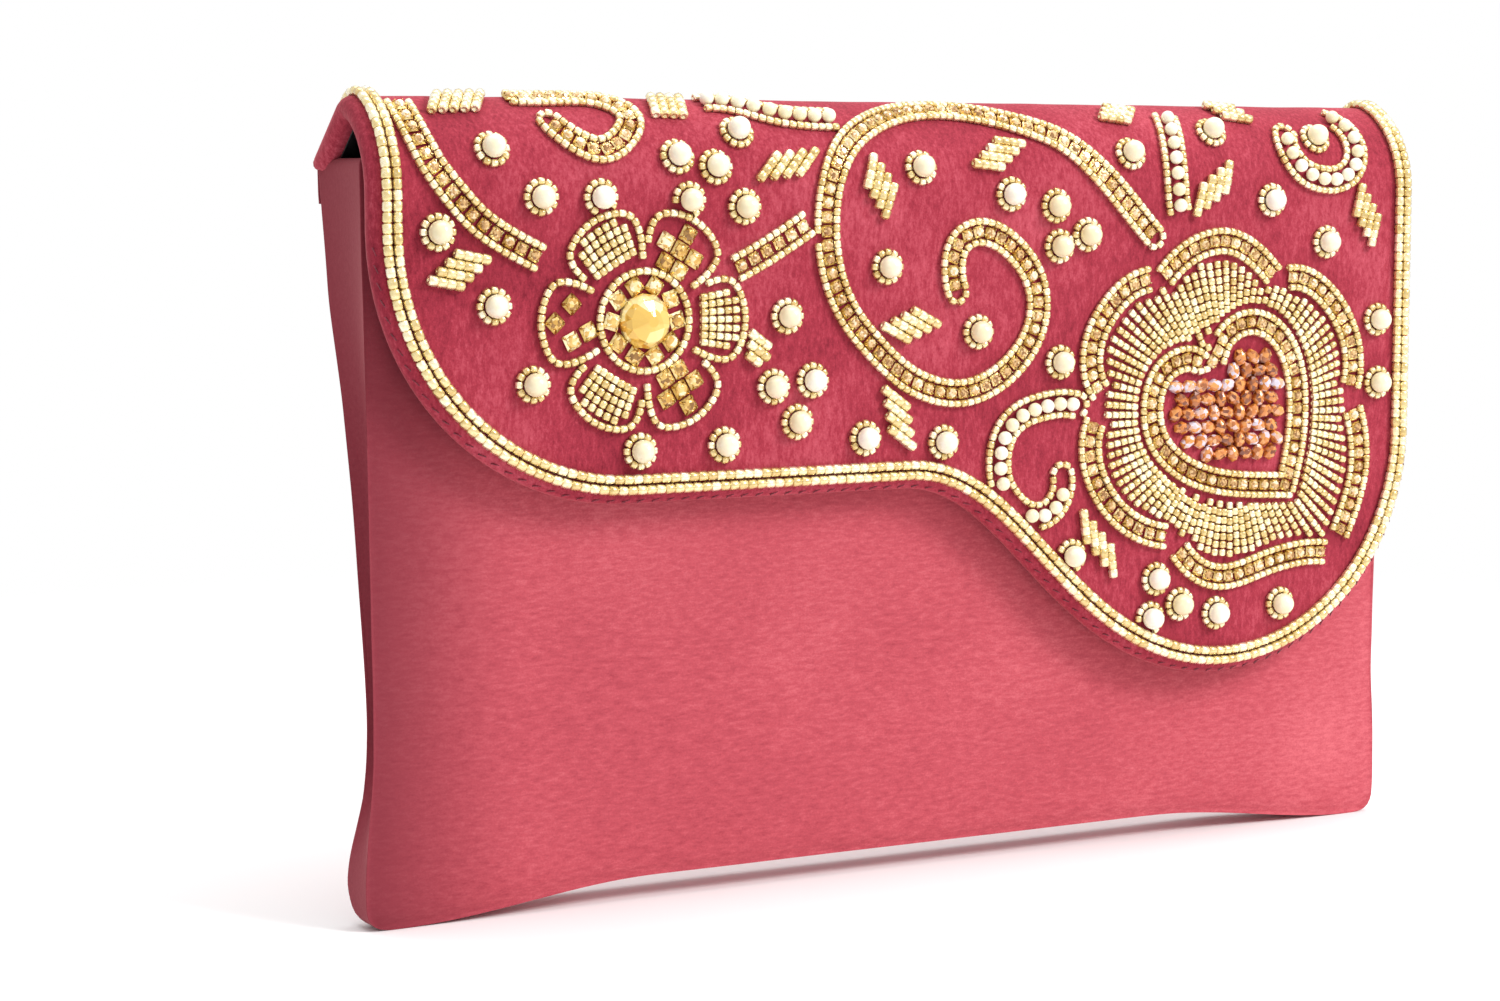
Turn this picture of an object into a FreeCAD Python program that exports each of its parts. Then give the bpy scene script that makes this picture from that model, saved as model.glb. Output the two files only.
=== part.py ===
import FreeCAD, Part
import Sketcher
import math
import os

# An envelope clutch: a padded velvet pouch with a stiffened, beaded flap that folds over from the
# top edge of its back. X runs across the width, Y from the front to the back and Z up. The origin
# is under the middle of the whole purse, on the plane that it stands on. Sizes are in millimetres.

Vector = FreeCAD.Vector
doc = FreeCAD.newDocument("clutch_purse")
sheet = doc.addObject("Spreadsheet::Sheet", "Sizes")

SIZES = [
    ("pouch_width", 254.0, "width of the pouch"),
    ("pouch_height", 152.0, "height of the pouch from base to mouth"),
    ("depth_base", 15.0, "depth of the pouch at the base"),
    ("depth_mouth", 23.5, "depth of the pouch at the mouth"),
    ("front_lean", 1.5, "how far the front's top edge stands ahead of its foot"),
    ("cover", 1.2, "velvet and its backing on the pouch"),
    ("padding", 1.5, "foam behind the velvet of the pouch"),
    ("board", 1.0, "stiffening board of the pouch"),
    ("lining", 0.6, "satin lining of the pouch"),
    ("layer_gap", 0.05, "glue line between two layers"),
    ("flap_overhang", 1.0, "how far the flap passes each side of the pouch"),
    ("flap_cover", 1.2, "velvet and its backing on the flap"),
    ("flap_padding", 2.0, "foam of the flap"),
    ("flap_board", 1.0, "stiffening board of the flap"),
    ("flap_lining", 0.7, "lining of the flap"),
    ("flap_gap", 2.5, "room between the pouch's mouth and the flap's lining"),
    ("fold_gap", 0.3, "room under the flap's root, where it folds"),
    ("crown_rise", 12.0, "height of the flap's fold over the mouth"),
    ("crown_radius", 6.5, "outer radius of the flap's fold"),
    ("crown_back", 16.5, "from the back's top edge forward to the middle of the fold"),
    ("shoulder_radius", 20.0, "outer radius between the fold and the hanging front"),
    ("left_drop", 69.0, "how far the left lobe hangs below the mouth"),
    ("right_drop", 114.0, "how far the right lobe hangs below the mouth"),
    ("left_round", 55.0, "radius of the left lobe's corner"),
    ("right_round", 53.0, "radius of the right lobe"),
    ("sweep_run", 69.0, "width of the sweep between the two lobes"),
    ("edge_margin", 3.0, "bare velvet from the edge to the middle of the first bead row"),
    ("row_step", 2.2, "between the two rows of border beads"),
    ("bugle_radius", 0.8, "radius of a border bead"),
    ("bugle_length", 1.8, "length of a border bead"),
    ("seed_radius", 0.65, "radius of a seed bead"),
    ("seed_length", 1.35, "length of a seed bead"),
    ("leaf_radius", 0.85, "radius of a bead in the leaf sprays"),
    ("leaf_length", 1.75, "length of a bead in the leaf sprays"),
    ("thread_gap", 0.3, "thread seen between two beads"),
    ("stone_radius", 1.3, "radius of a chain stone in its cup"),
    ("stone_height", 1.6, "height of a chain stone in its cup"),
    ("petal_stone_radius", 1.75, "radius of a stone in the flower's petals"),
    ("pearl_radius", 2.1, "radius of a rosette pearl"),
    ("scroll_pearl_radius", 1.5, "radius of a pearl in the scrolls and the band"),
    ("crystal_radius", 1.6, "radius of a crystal in the heart"),
    ("centre_stone_radius", 5.2, "radius of the flower's middle stone"),
    ("centre_stone_height", 4.6, "height of the flower's middle stone"),
    ("snap_radius", 7.0, "radius of each half of the magnetic snap"),
    ("snap_height", 1.5, "height of the snap's socket"),
    ("snap_floor", 0.4, "thickness of the socket's floor and of its skirt"),
    ("magnet_height", 1.0, "height of the ring magnet in the socket"),
    ("stud_radius", 2.0, "radius of the snap's stud"),
    ("stud_height", 1.5, "height of the snap's stud"),
    ("stud_plate", 0.7, "thickness of the stud's plate"),
    ("stud_clearance", 1.2, "room round the stud, which swings out on an arc"),
    ("post_radius", 1.2, "radius of the rivet post behind each half of the snap"),
    ("washer_radius", 5.0, "radius of the washer that each post is riveted over"),
    ("washer_height", 0.5, "thickness of that washer"),
    ("fit_gap", 0.1, "room round the posts, the magnet and the washers"),
    ("snap_across", 75.0, "from the middle of the purse to the snap"),
    ("snap_below", 89.0, "from the mouth down to the snap"),
]
for row, (alias, value, note) in enumerate(SIZES, start=1):
    sheet.set("A%d" % row, note)
    sheet.set("B%d" % row, str(value))
    sheet.setAlias("B%d" % row, alias)
doc.recompute()


def size(alias):
    return float(getattr(sheet, alias))


PARTS = []


def keep(item, label):
    item.Label = label
    PARTS.append(item)
    return item


# ------------------------------------------------- expressions that several pieces are placed by
# The foot of the front is set so that the whole purse, beads and all, is centred on the origin.
FLAP_THICK = (
    "(Sizes.flap_cover + Sizes.flap_padding + Sizes.flap_board + Sizes.flap_lining"
    " + 3 * Sizes.layer_gap)"
)
FRONT_Y = (
    "((2 * Sizes.front_lean - Sizes.depth_mouth + Sizes.flap_gap + %s"
    " + Sizes.centre_stone_height) / 2)" % FLAP_THICK
)
BACK_Y = "(%s + Sizes.depth_base)" % FRONT_Y
BACK_LEAN = "(Sizes.depth_mouth - Sizes.front_lean - Sizes.depth_base)"
FRONT_TILT = "atan(Sizes.front_lean / Sizes.pouch_height)"
BACK_TILT = "atan(%s / Sizes.pouch_height)" % BACK_LEAN
SEAT = "(Sizes.cover + Sizes.layer_gap)"

# depth of each layer's outer face below the velvet's face
COVER_AT = "0"
PADDING_AT = "(Sizes.cover + Sizes.layer_gap)"
BOARD_AT = "(%s + Sizes.padding + Sizes.layer_gap)" % PADDING_AT
LINING_AT = "(%s + Sizes.board + Sizes.layer_gap)" % BOARD_AT
INSIDE_AT = "(%s + Sizes.lining + Sizes.layer_gap)" % LINING_AT

SNAP_Z = "(Sizes.pouch_height - Sizes.snap_below)"
SNAP_FACE_Y = "(%s - %s * tan(%s))" % (FRONT_Y, SNAP_Z, FRONT_TILT)
FLAP_INNER_Y = "(%s - Sizes.front_lean - Sizes.flap_gap)" % FRONT_Y


# ------------------------------------------------------------------------- layers of the pouch
def wall_slab(label, face, outer, thick, inset):
    """A flat layer of the front or back wall, tilted with it and standing on the base."""
    slab = doc.addObject("Part::Box", label)
    front = face == "front"
    tilt = FRONT_TILT if front else BACK_TILT
    slab.Placement = FreeCAD.Placement(Vector(0, 0, 0), FreeCAD.Rotation(Vector(1, 0, 0), 1.0))
    if front:
        foot = "%s + %s / cos(%s) - %s * tan(%s)" % (FRONT_Y, outer, tilt, SEAT, tilt)
        rise = "0"
    else:
        foot = "%s - (%s + %s) / cos(%s) + %s * tan(%s)" % (BACK_Y, outer, thick, tilt, SEAT, tilt)
        rise = "%s * sin(%s)" % (thick, tilt)
    slab.setExpression("Length", "Sizes.pouch_width - 2 * %s" % inset)
    slab.setExpression("Width", thick)
    height = "(Sizes.pouch_height - %s - %s * sin(%s)) / cos(%s)" % (SEAT, thick, tilt, tilt)
    slab.setExpression("Height", height)
    slab.setExpression("Placement.Base.x", "%s - Sizes.pouch_width / 2" % inset)
    slab.setExpression("Placement.Base.y", foot)
    slab.setExpression("Placement.Base.z", "%s + %s" % (SEAT, rise))
    slab.setExpression("Placement.Rotation.Angle", tilt if front else "-" + tilt)
    return slab


def drilled(label, slab, radius):
    """The layer with a round hole on the snap's axis."""
    drill = doc.addObject("Part::Cylinder", label + "_drill")
    drill.Placement = FreeCAD.Placement(Vector(0, 0, 0), FreeCAD.Rotation(Vector(1, 0, 0), 90))
    drill.setExpression("Radius", radius)
    drill.setExpression("Height", "2 * Sizes.depth_mouth")
    drill.setExpression("Placement.Base.x", "Sizes.snap_across")
    drill.setExpression("Placement.Base.y", "%s + %s" % (SNAP_FACE_Y, INSIDE_AT))
    drill.setExpression("Placement.Base.z", SNAP_Z)
    cut = doc.addObject("Part::Cut", label + "_drilled")
    cut.Base = slab
    cut.Tool = drill
    return cut


EDGE = "(Sizes.cover + Sizes.layer_gap)"
front_cover = wall_slab("front_cover_slab", "front", COVER_AT, "Sizes.cover", "0")
keep(drilled("front_cover", front_cover, "Sizes.post_radius + Sizes.fit_gap"), "front_cover")
front_padding = wall_slab("front_padding_slab", "front", PADDING_AT, "Sizes.padding", EDGE)
washer_hole = "Sizes.washer_radius + Sizes.fit_gap"
keep(drilled("front_padding", front_padding, washer_hole), "front_padding")
keep(wall_slab("front_board_slab", "front", BOARD_AT, "Sizes.board", EDGE), "front_board")
keep(wall_slab("front_lining_slab", "front", LINING_AT, "Sizes.lining", EDGE), "front_lining")
keep(wall_slab("back_cover_slab", "back", COVER_AT, "Sizes.cover", "0"), "back_cover")
keep(wall_slab("back_padding_slab", "back", PADDING_AT, "Sizes.padding", EDGE), "back_padding")
keep(wall_slab("back_board_slab", "back", BOARD_AT, "Sizes.board", EDGE), "back_board")
keep(wall_slab("back_lining_slab", "back", LINING_AT, "Sizes.lining", EDGE), "back_lining")

GUSSET_LINING_X = "(Sizes.cover + Sizes.layer_gap)"
INNER_X = "(%s + Sizes.lining + Sizes.layer_gap)" % GUSSET_LINING_X


def base_slab(label, thick, level, end, front, back):
    slab = doc.addObject("Part::Box", label + "_slab")
    slab.setExpression("Length", "Sizes.pouch_width - 2 * %s" % end)
    slab.setExpression("Width", "%s - (%s)" % (back, front))
    slab.setExpression("Height", thick)
    slab.setExpression("Placement.Base.x", "%s - Sizes.pouch_width / 2" % end)
    slab.setExpression("Placement.Base.y", front)
    slab.setExpression("Placement.Base.z", level)
    return keep(slab, label)


INSIDE_FRONT = "(%s + %s / cos(%s))" % (FRONT_Y, INSIDE_AT, FRONT_TILT)
INSIDE_BACK = "(%s - %s / cos(%s))" % (BACK_Y, INSIDE_AT, BACK_TILT)
base_slab("base_cover", "Sizes.cover", "0", "0", FRONT_Y, BACK_Y)
base_slab("base_board", "Sizes.board", SEAT, INNER_X, INSIDE_FRONT, INSIDE_BACK)
base_slab(
    "base_lining", "Sizes.lining", SEAT + " + Sizes.board + Sizes.layer_gap", INNER_X,
    INSIDE_FRONT, INSIDE_BACK,
)


def end_panel(label, side, thick, from_end, depth):
    """A tapered panel that closes one end of the pouch between the layers at the given depth."""
    body = doc.addObject("PartDesign::Body", label + "_body")
    plane = [f for f in body.Origin.OriginFeatures if f.Role == "YZ_Plane"][0]
    sketch = body.newObject("Sketcher::SketchObject", label + "_outline")
    sketch.AttachmentSupport = [(plane, "")]
    sketch.MapMode = "FlatFace"
    corners = [Vector(-5, 2, 0), Vector(5, 2, 0), Vector(10, 150, 0), Vector(-10, 150, 0)]
    for index in range(4):
        line = Part.LineSegment(corners[index], corners[(index + 1) % 4])
        sketch.addGeometry(line, False)
    for index in range(4):
        sketch.addConstraint(Sketcher.Constraint("Coincident", index, 2, (index + 1) % 4, 1))
    low_front = "%s + %s / cos(%s) - %s * tan(%s)" % (FRONT_Y, depth, FRONT_TILT, SEAT, FRONT_TILT)
    low_back = "%s - %s / cos(%s) + %s * tan(%s)" % (BACK_Y, depth, BACK_TILT, SEAT, BACK_TILT)
    top_front = "%s + %s / cos(%s) - Sizes.front_lean" % (FRONT_Y, depth, FRONT_TILT)
    top_back = "%s - %s / cos(%s) + %s" % (BACK_Y, depth, BACK_TILT, BACK_LEAN)
    places = [(low_front, SEAT), (low_back, SEAT)]
    places += [(top_back, "Sizes.pouch_height"), (top_front, "Sizes.pouch_height")]
    for index, (across, up) in enumerate(places):
        corner = corners[index]
        number = sketch.addConstraint(Sketcher.Constraint("DistanceX", -1, 1, index, 1, corner.x))
        sketch.setExpression("Constraints[%d]" % number, across)
        number = sketch.addConstraint(Sketcher.Constraint("DistanceY", -1, 1, index, 1, corner.y))
        sketch.setExpression("Constraints[%d]" % number, up)
    pad = body.newObject("PartDesign::Pad", label + "_pad")
    pad.Profile = sketch
    pad.setExpression("Length", thick)
    if side < 0:
        place = "%s - Sizes.pouch_width / 2" % from_end
    else:
        place = "Sizes.pouch_width / 2 - %s - %s" % (from_end, thick)
    body.setExpression("Placement.Base.x", place)
    return keep(body, label)


for name, side in (("left", -1), ("right", 1)):
    end_panel(name + "_gusset", side, "Sizes.cover", "0", PADDING_AT)
    end_panel(name + "_gusset_lining", side, "Sizes.lining", GUSSET_LINING_X, INSIDE_AT)


# ------------------------------------------------------------------------------- magnetic snap
def snap_rod(label, radius, height, offset, half):
    """A cylinder on the snap's axis; offset runs from the velvet's face, or the flap's lining."""
    rod = doc.addObject("Part::Cylinder", label)
    rod.setExpression("Radius", radius)
    rod.setExpression("Height", height)
    rod.setExpression("Placement.Base.x", "Sizes.snap_across")
    if half == "socket":
        turn = FreeCAD.Rotation(Vector(1, 0, 0), 91)
        rod.Placement = FreeCAD.Placement(Vector(0, 0, 0), turn)
        rod.setExpression("Placement.Rotation.Angle", "90 deg + %s" % FRONT_TILT)
        rod.setExpression("Placement.Base.y", "%s - (%s) * cos(%s)" % (SNAP_FACE_Y, offset, FRONT_TILT))
        rod.setExpression("Placement.Base.z", "%s - (%s) * sin(%s)" % (SNAP_Z, offset, FRONT_TILT))
    else:
        turn = FreeCAD.Rotation(Vector(1, 0, 0), -90)
        rod.Placement = FreeCAD.Placement(Vector(0, 0, 0), turn)
        rod.setExpression("Placement.Base.y", "%s + %s" % (FLAP_INNER_Y, offset))
        rod.setExpression("Placement.Base.z", SNAP_Z)
    rod.setExpression("Placement.Base.x", "Sizes.snap_across")
    return rod


def cut_away(label, base, *tools):
    for number, tool in enumerate(tools):
        cut = doc.addObject("Part::Cut", "%s_cut_%d" % (label, number))
        cut.Base = base
        cut.Tool = tool
        base = cut
    return base


def joined(label, first, second):
    fuse = doc.addObject("Part::Fuse", label + "_fuse")
    fuse.Base = first
    fuse.Tool = second
    return fuse


MAGNET_OUT = "(Sizes.snap_radius - Sizes.snap_floor - Sizes.fit_gap)"
MAGNET_IN = "(Sizes.stud_radius + Sizes.stud_clearance + Sizes.snap_floor + Sizes.fit_gap)"
GLUE = "Sizes.layer_gap"

# The socket is a turned cup: a recess in front for the stud, a ring groove behind for the magnet,
# and a post that passes through the velvet.
cup = snap_rod("socket_cup", "Sizes.snap_radius", "Sizes.snap_height", GLUE, "socket")
recess = snap_rod(
    "socket_recess", "Sizes.stud_radius + Sizes.stud_clearance", "Sizes.snap_height",
    GLUE + " + Sizes.snap_floor", "socket",
)
groove_depth = "Sizes.magnet_height + Sizes.fit_gap"
groove = snap_rod(
    "socket_groove", MAGNET_OUT + " + Sizes.fit_gap", "2 * (%s)" % groove_depth,
    "%s - (%s)" % (GLUE, groove_depth), "socket",
)
core = snap_rod(
    "socket_core", MAGNET_IN + " - Sizes.fit_gap", "4 * (%s)" % groove_depth,
    "%s - 2 * (%s)" % (GLUE, groove_depth), "socket",
)
ring_groove = cut_away("socket_groove", groove, core)
cup = cut_away("socket", cup, recess, ring_groove)
post_length = "Sizes.cover + Sizes.washer_height + 2 * Sizes.layer_gap"
post = snap_rod("socket_post", "Sizes.post_radius", post_length + " + Sizes.snap_floor / 2",
                "%s - (%s)" % (GLUE, post_length), "socket")
keep(joined("socket", cup, post), "snap_socket")

magnet = snap_rod("magnet_disc", MAGNET_OUT, "Sizes.magnet_height", GLUE, "socket")
magnet_bore = snap_rod("magnet_bore", MAGNET_IN, "3 * Sizes.magnet_height", "-Sizes.magnet_height",
                       "socket")
keep(cut_away("magnet", magnet, magnet_bore), "snap_magnet")

washer_at = "-(Sizes.cover + Sizes.layer_gap + Sizes.washer_height)"
disc = snap_rod("socket_washer_disc", "Sizes.washer_radius", "Sizes.washer_height", washer_at, "socket")
bore = snap_rod("socket_washer_bore", "Sizes.post_radius + Sizes.fit_gap", "3 * Sizes.washer_height",
                washer_at + " - Sizes.washer_height", "socket")
keep(cut_away("socket_washer", disc, bore), "snap_socket_washer")

plate = snap_rod("stud_plate_disc", "Sizes.snap_radius", "Sizes.stud_plate", GLUE, "stud")
stud = snap_rod("stud_pin", "Sizes.stud_radius", "Sizes.stud_plate + Sizes.stud_height", GLUE, "stud")
stud_post_length = "Sizes.flap_lining + Sizes.washer_height + 3 * Sizes.layer_gap"
stud_post = snap_rod("stud_post", "Sizes.post_radius", stud_post_length + " + Sizes.stud_plate / 2",
                     "%s - (%s)" % (GLUE, stud_post_length), "stud")
keep(joined("stud_with_post", joined("stud", plate, stud), stud_post), "snap_stud")

stud_washer_at = "-(Sizes.flap_lining + 2 * Sizes.layer_gap + Sizes.washer_height)"
disc = snap_rod("stud_washer_disc", "Sizes.washer_radius", "Sizes.washer_height", stud_washer_at, "stud")
bore = snap_rod("stud_washer_bore", "Sizes.post_radius + Sizes.fit_gap", "3 * Sizes.washer_height",
                stud_washer_at + " - Sizes.washer_height", "stud")
keep(cut_away("stud_washer", disc, bore), "snap_stud_washer")


# -------------------------------------------------------------------------- shape of the flap
flap_thick = size("flap_cover") + size("flap_padding") + size("flap_board")
flap_thick += size("flap_lining") + 3 * size("layer_gap")
front_y = 2 * size("front_lean") - size("depth_mouth") + size("flap_gap") + flap_thick
front_y = (front_y + size("centre_stone_height")) / 2
mouth_y = front_y - size("front_lean")
back_y = mouth_y + size("depth_mouth")
mouth_z = size("pouch_height")
flap_y = mouth_y - size("flap_gap") - flap_thick
flap_half = size("pouch_width") / 2 + size("flap_overhang")
crown = Vector(0, back_y - size("crown_back"), mouth_z + size("crown_rise") - size("crown_radius"))
shoulder_y = flap_y + size("shoulder_radius")
shoulder_rise = math.sqrt(
    (size("shoulder_radius") - size("crown_radius")) ** 2 - (shoulder_y - crown.y) ** 2
)
shoulder = Vector(0, shoulder_y, crown.z - shoulder_rise)
root = Vector(0, back_y, mouth_z + size("fold_gap"))

join_angle = math.atan2(crown.z - shoulder.z, crown.y - shoulder.y)
to_crown = crown - root
half_angle = math.asin(size("crown_radius") / to_crown.Length)
root_angle = math.atan2(to_crown.z, to_crown.y) - half_angle
back_angle = root_angle - math.pi / 2


def around(centre, radius, angle):
    """A point of the flap's cross-section, at x = 0."""
    return Vector(0, centre.y + radius * math.cos(angle), centre.z + radius * math.sin(angle))


def section_side(inset):
    """Corner points of the cross-section's line at a depth below the velvet's face."""
    crown_r = size("crown_radius") - inset
    shoulder_r = size("shoulder_radius") - inset
    top_back = around(crown, crown_r, back_angle)
    run = (top_back.z - root.z) / math.sin(root_angle)
    foot = Vector(0, top_back.y - run * math.cos(root_angle), root.z)
    middle = around(crown, crown_r, (back_angle + join_angle) / 2)
    join = around(crown, crown_r, join_angle)
    turn = around(shoulder, shoulder_r, (join_angle + math.pi) / 2)
    front = Vector(0, flap_y + inset, shoulder.z)
    end = Vector(0, flap_y + inset, 0)
    return foot, top_back, middle, join, turn, front, end


def section_edges(points):
    foot, top_back, middle, join, turn, front, end = points
    edges = [Part.LineSegment(foot, top_back).toShape()]
    edges.append(Part.Arc(top_back, middle, join).toShape())
    edges.append(Part.Arc(join, turn, front).toShape())
    edges.append(Part.LineSegment(front, end).toShape())
    return edges


def bent_sheet(outer, inner, side_inset):
    """The flap's whole section between two depths, as wide as the flap less an inset."""
    out_points = section_side(outer)
    in_points = section_side(inner)
    edges = section_edges(out_points) + section_edges(in_points)
    edges.append(Part.LineSegment(out_points[0], in_points[0]).toShape())
    edges.append(Part.LineSegment(out_points[-1], in_points[-1]).toShape())
    face = Part.Face(Part.Wire(Part.__sortEdges__(edges)))
    face.translate(Vector(-flap_half + side_inset, 0, 0))
    return face.extrude(Vector(2 * (flap_half - side_inset), 0, 0))


# The lower edge: the left lobe's corner, a level stretch, a sweep down and the deep right lobe.
left_centre = Vector(-flap_half + size("left_round"), 0,
                     mouth_z - size("left_drop") + size("left_round"))
right_centre = Vector(flap_half - size("right_round"), 0,
                      mouth_z - size("right_drop") + size("right_round"))
LOBE_START = math.radians(255)


def on_circle(centre, radius, angle):
    return Vector(centre.x + radius * math.cos(angle), 0, centre.z + radius * math.sin(angle))


def outline_edges(inset, top):
    """The flap's edge seen from the front, from the top left round to the top right."""
    left_r = size("left_round") - inset
    right_r = size("right_round") - inset
    level = mouth_z - size("left_drop") + inset
    left_top = Vector(-flap_half + inset, 0, top)
    left_side = on_circle(left_centre, left_r, math.pi)
    left_mid = on_circle(left_centre, left_r, 1.25 * math.pi)
    left_foot = on_circle(left_centre, left_r, 1.5 * math.pi)
    lobe_start = on_circle(right_centre, right_r, LOBE_START)
    sweep_start = Vector(lobe_start.x - size("sweep_run"), 0, level)
    hold = Vector(sweep_start.x + 0.35 * size("sweep_run"), 0, level)
    pull = 0.5 * size("sweep_run")
    lead = Vector(
        lobe_start.x + pull * math.sin(LOBE_START), 0, lobe_start.z - pull * math.cos(LOBE_START)
    )
    sweep = Part.BezierCurve()
    sweep.setPoles([sweep_start, hold, lead, lobe_start])
    lobe_mid = on_circle(right_centre, right_r, (LOBE_START + 2 * math.pi) / 2)
    right_side = on_circle(right_centre, right_r, 2 * math.pi)
    right_top = Vector(flap_half - inset, 0, top)
    return [
        Part.LineSegment(left_top, left_side).toShape(),
        Part.Arc(left_side, left_mid, left_foot).toShape(),
        Part.LineSegment(left_foot, sweep_start).toShape(),
        sweep.toShape(),
        Part.Arc(lobe_start, lobe_mid, right_side).toShape(),
        Part.LineSegment(right_side, right_top).toShape(),
    ]


def outline_block(inset):
    """Everything inside the flap's edge, through the whole depth of the purse."""
    top = mouth_z + 2 * size("crown_rise")
    edges = outline_edges(inset, top)
    edges.append(Part.LineSegment(edges[-1].Vertexes[-1].Point, edges[0].Vertexes[0].Point).toShape())
    face = Part.Face(Part.Wire(Part.__sortEdges__(edges)))
    face.translate(Vector(0, -2 * size("depth_mouth"), 0))
    return face.extrude(Vector(0, 4 * size("depth_mouth"), 0))


def feature(label, shape):
    item = doc.addObject("Part::Feature", label + "_shape")
    item.Shape = shape
    item.Placement = FreeCAD.Placement(Vector(0, 0, 0), FreeCAD.Rotation())
    return keep(item, label)


gap = size("layer_gap")
padding_at = size("flap_cover") + gap
board_at = padding_at + size("flap_padding") + gap
lining_at = board_at + size("flap_board") + gap
wrap = size("flap_cover") + gap


def snap_bore(radius):
    centre = Vector(size("snap_across"), flap_y - flap_thick, mouth_z - size("snap_below"))
    return Part.makeCylinder(radius, 3 * flap_thick, centre, Vector(0, 1, 0))


def flap_layer(label, outer, thick, inset, bore=None):
    shape = bent_sheet(outer, outer + thick, inset).common(outline_block(inset))
    if bore:
        shape = shape.cut(snap_bore(bore))
    return feature(label, shape)


flap_layer("flap_cover", 0, size("flap_cover"), 0)
flap_layer("flap_padding", padding_at, size("flap_padding"), wrap)
flap_layer("flap_lining", lining_at, size("flap_lining"), wrap, size("post_radius") + size("fit_gap"))


def flap_board():
    """Stiffens only the hanging front, so that the fold stays soft."""
    length = 2 * flap_half
    board = Part.makeBox(length, size("flap_board"), shoulder.z, Vector(-flap_half, flap_y + board_at, 0))
    board = board.common(outline_block(wrap))
    return board.cut(snap_bore(size("washer_radius") + size("fit_gap")))


feature("flap_board", flap_board())


# ------------------------------------------------------------------ places on the flap's velvet
# The beadwork is drawn on the unrolled flap: u runs across it and v runs down over the fold,
# from the top of the fold, at the height of the beads' middles. It is drawn for a flap of the
# design size and spreads with the real one.
BEAD_PLANE = 1.0
DESIGN_HALF = 128.0
DESIGN_REACH = 134.5
crown_run = (size("crown_radius") + BEAD_PLANE) * (join_angle - math.pi / 2)
shoulder_run = (size("shoulder_radius") + BEAD_PLANE) * (math.pi - join_angle)
reach = crown_run + shoulder_run + shoulder.z - (mouth_z - size("right_drop"))
spread_u = flap_half / DESIGN_HALF
spread_v = reach / DESIGN_REACH
bead_scale = min(spread_u, spread_v)
back_run = (size("crown_radius") + BEAD_PLANE) * (math.pi / 2 - back_angle)


def flap_place(u, v, lift):
    """The point over (u, v) at a height above the velvet, with the down and outward directions."""
    if v < -back_run:
        angle = back_angle
        past = -back_run - v
        base = around(crown, size("crown_radius") + lift, angle)
        down = Vector(0, math.sin(angle) * -1, math.cos(angle))
        point = base - down * past
    elif v <= crown_run:
        angle = math.pi / 2 + v / (size("crown_radius") + BEAD_PLANE)
        point = around(crown, size("crown_radius") + lift, angle)
    elif v <= crown_run + shoulder_run:
        angle = join_angle + (v - crown_run) / (size("shoulder_radius") + BEAD_PLANE)
        point = around(shoulder, size("shoulder_radius") + lift, angle)
    else:
        angle = math.pi
        point = Vector(0, flap_y - lift, shoulder.z - (v - crown_run - shoulder_run))
    down = Vector(0, -math.sin(angle), math.cos(angle))
    out = Vector(0, math.cos(angle), math.sin(angle))
    return Vector(u, point.y, point.z), down, out


# ------------------------------------------------------------- keeping pieces off one another
taken = {}
CELL = 8.0
SEAM = 0.12


def corners_of(u, v, turn, long_half, wide_half):
    along = (math.cos(turn), math.sin(turn))
    aside = (-along[1], along[0])
    signs = ((1, 1), (1, -1), (-1, -1), (-1, 1))
    return [
        (u + a * long_half * along[0] + b * wide_half * aside[0],
         v + a * long_half * along[1] + b * wide_half * aside[1])
        for a, b in signs
    ]


def rim_of(u, v, radius):
    """A sixteen-sided outline just outside a circle."""
    outer = radius / math.cos(math.pi / 16)
    return [
        (u + outer * math.cos(math.pi * k / 8), v + outer * math.sin(math.pi * k / 8))
        for k in range(16)
    ]


def apart(first, second):
    """True when a straight line parts the two outlines."""
    for shape in (first, second):
        for k in range(len(shape)):
            x0, y0 = shape[k]
            x1, y1 = shape[(k + 1) % len(shape)]
            nx, ny = y1 - y0, x0 - x1
            one = [nx * x + ny * y for x, y in first]
            two = [nx * x + ny * y for x, y in second]
            if min(one) > max(two) or min(two) > max(one):
                return True
    return False


def cells(u, v):
    column = int(math.floor(u / CELL))
    line = int(math.floor(v / CELL))
    return [(column + i, line + j) for i in (-1, 0, 1) for j in (-1, 0, 1)]


def is_free(u, v, outline):
    for cell in cells(u, v):
        for other in taken.get(cell, []):
            if not apart(outline, other):
                return False
    return True


def take(u, v, outline):
    home = (int(math.floor(u / CELL)), int(math.floor(v / CELL)))
    taken.setdefault(home, []).append(outline)


# ------------------------------------------------------------------------- the kinds of piece
# Each maker gives the outline that the piece covers on the velvet, and its solid.
def bead(radius, length):
    def make(u, v, turn):
        point, down, out = flap_place(u, v, radius + gap)
        axis = Vector(math.cos(turn), 0, 0) + down * math.sin(turn)
        solid = Part.makeCylinder(radius, length, point - axis * (length / 2), axis)
        return corners_of(u, v, turn, length / 2 + SEAM / 2, radius + SEAM / 2), solid
    return make


def pearl(radius):
    def make(u, v, turn):
        point, down, out = flap_place(u, v, radius + gap)
        return rim_of(u, v, radius + SEAM / 2), Part.makeSphere(radius, point)
    return make


def stone(radius, height):
    def make(u, v, turn):
        point, down, out = flap_place(u, v, gap)
        return rim_of(u, v, radius + SEAM / 2), Part.makeCylinder(radius, height, point, out)
    return make


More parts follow.
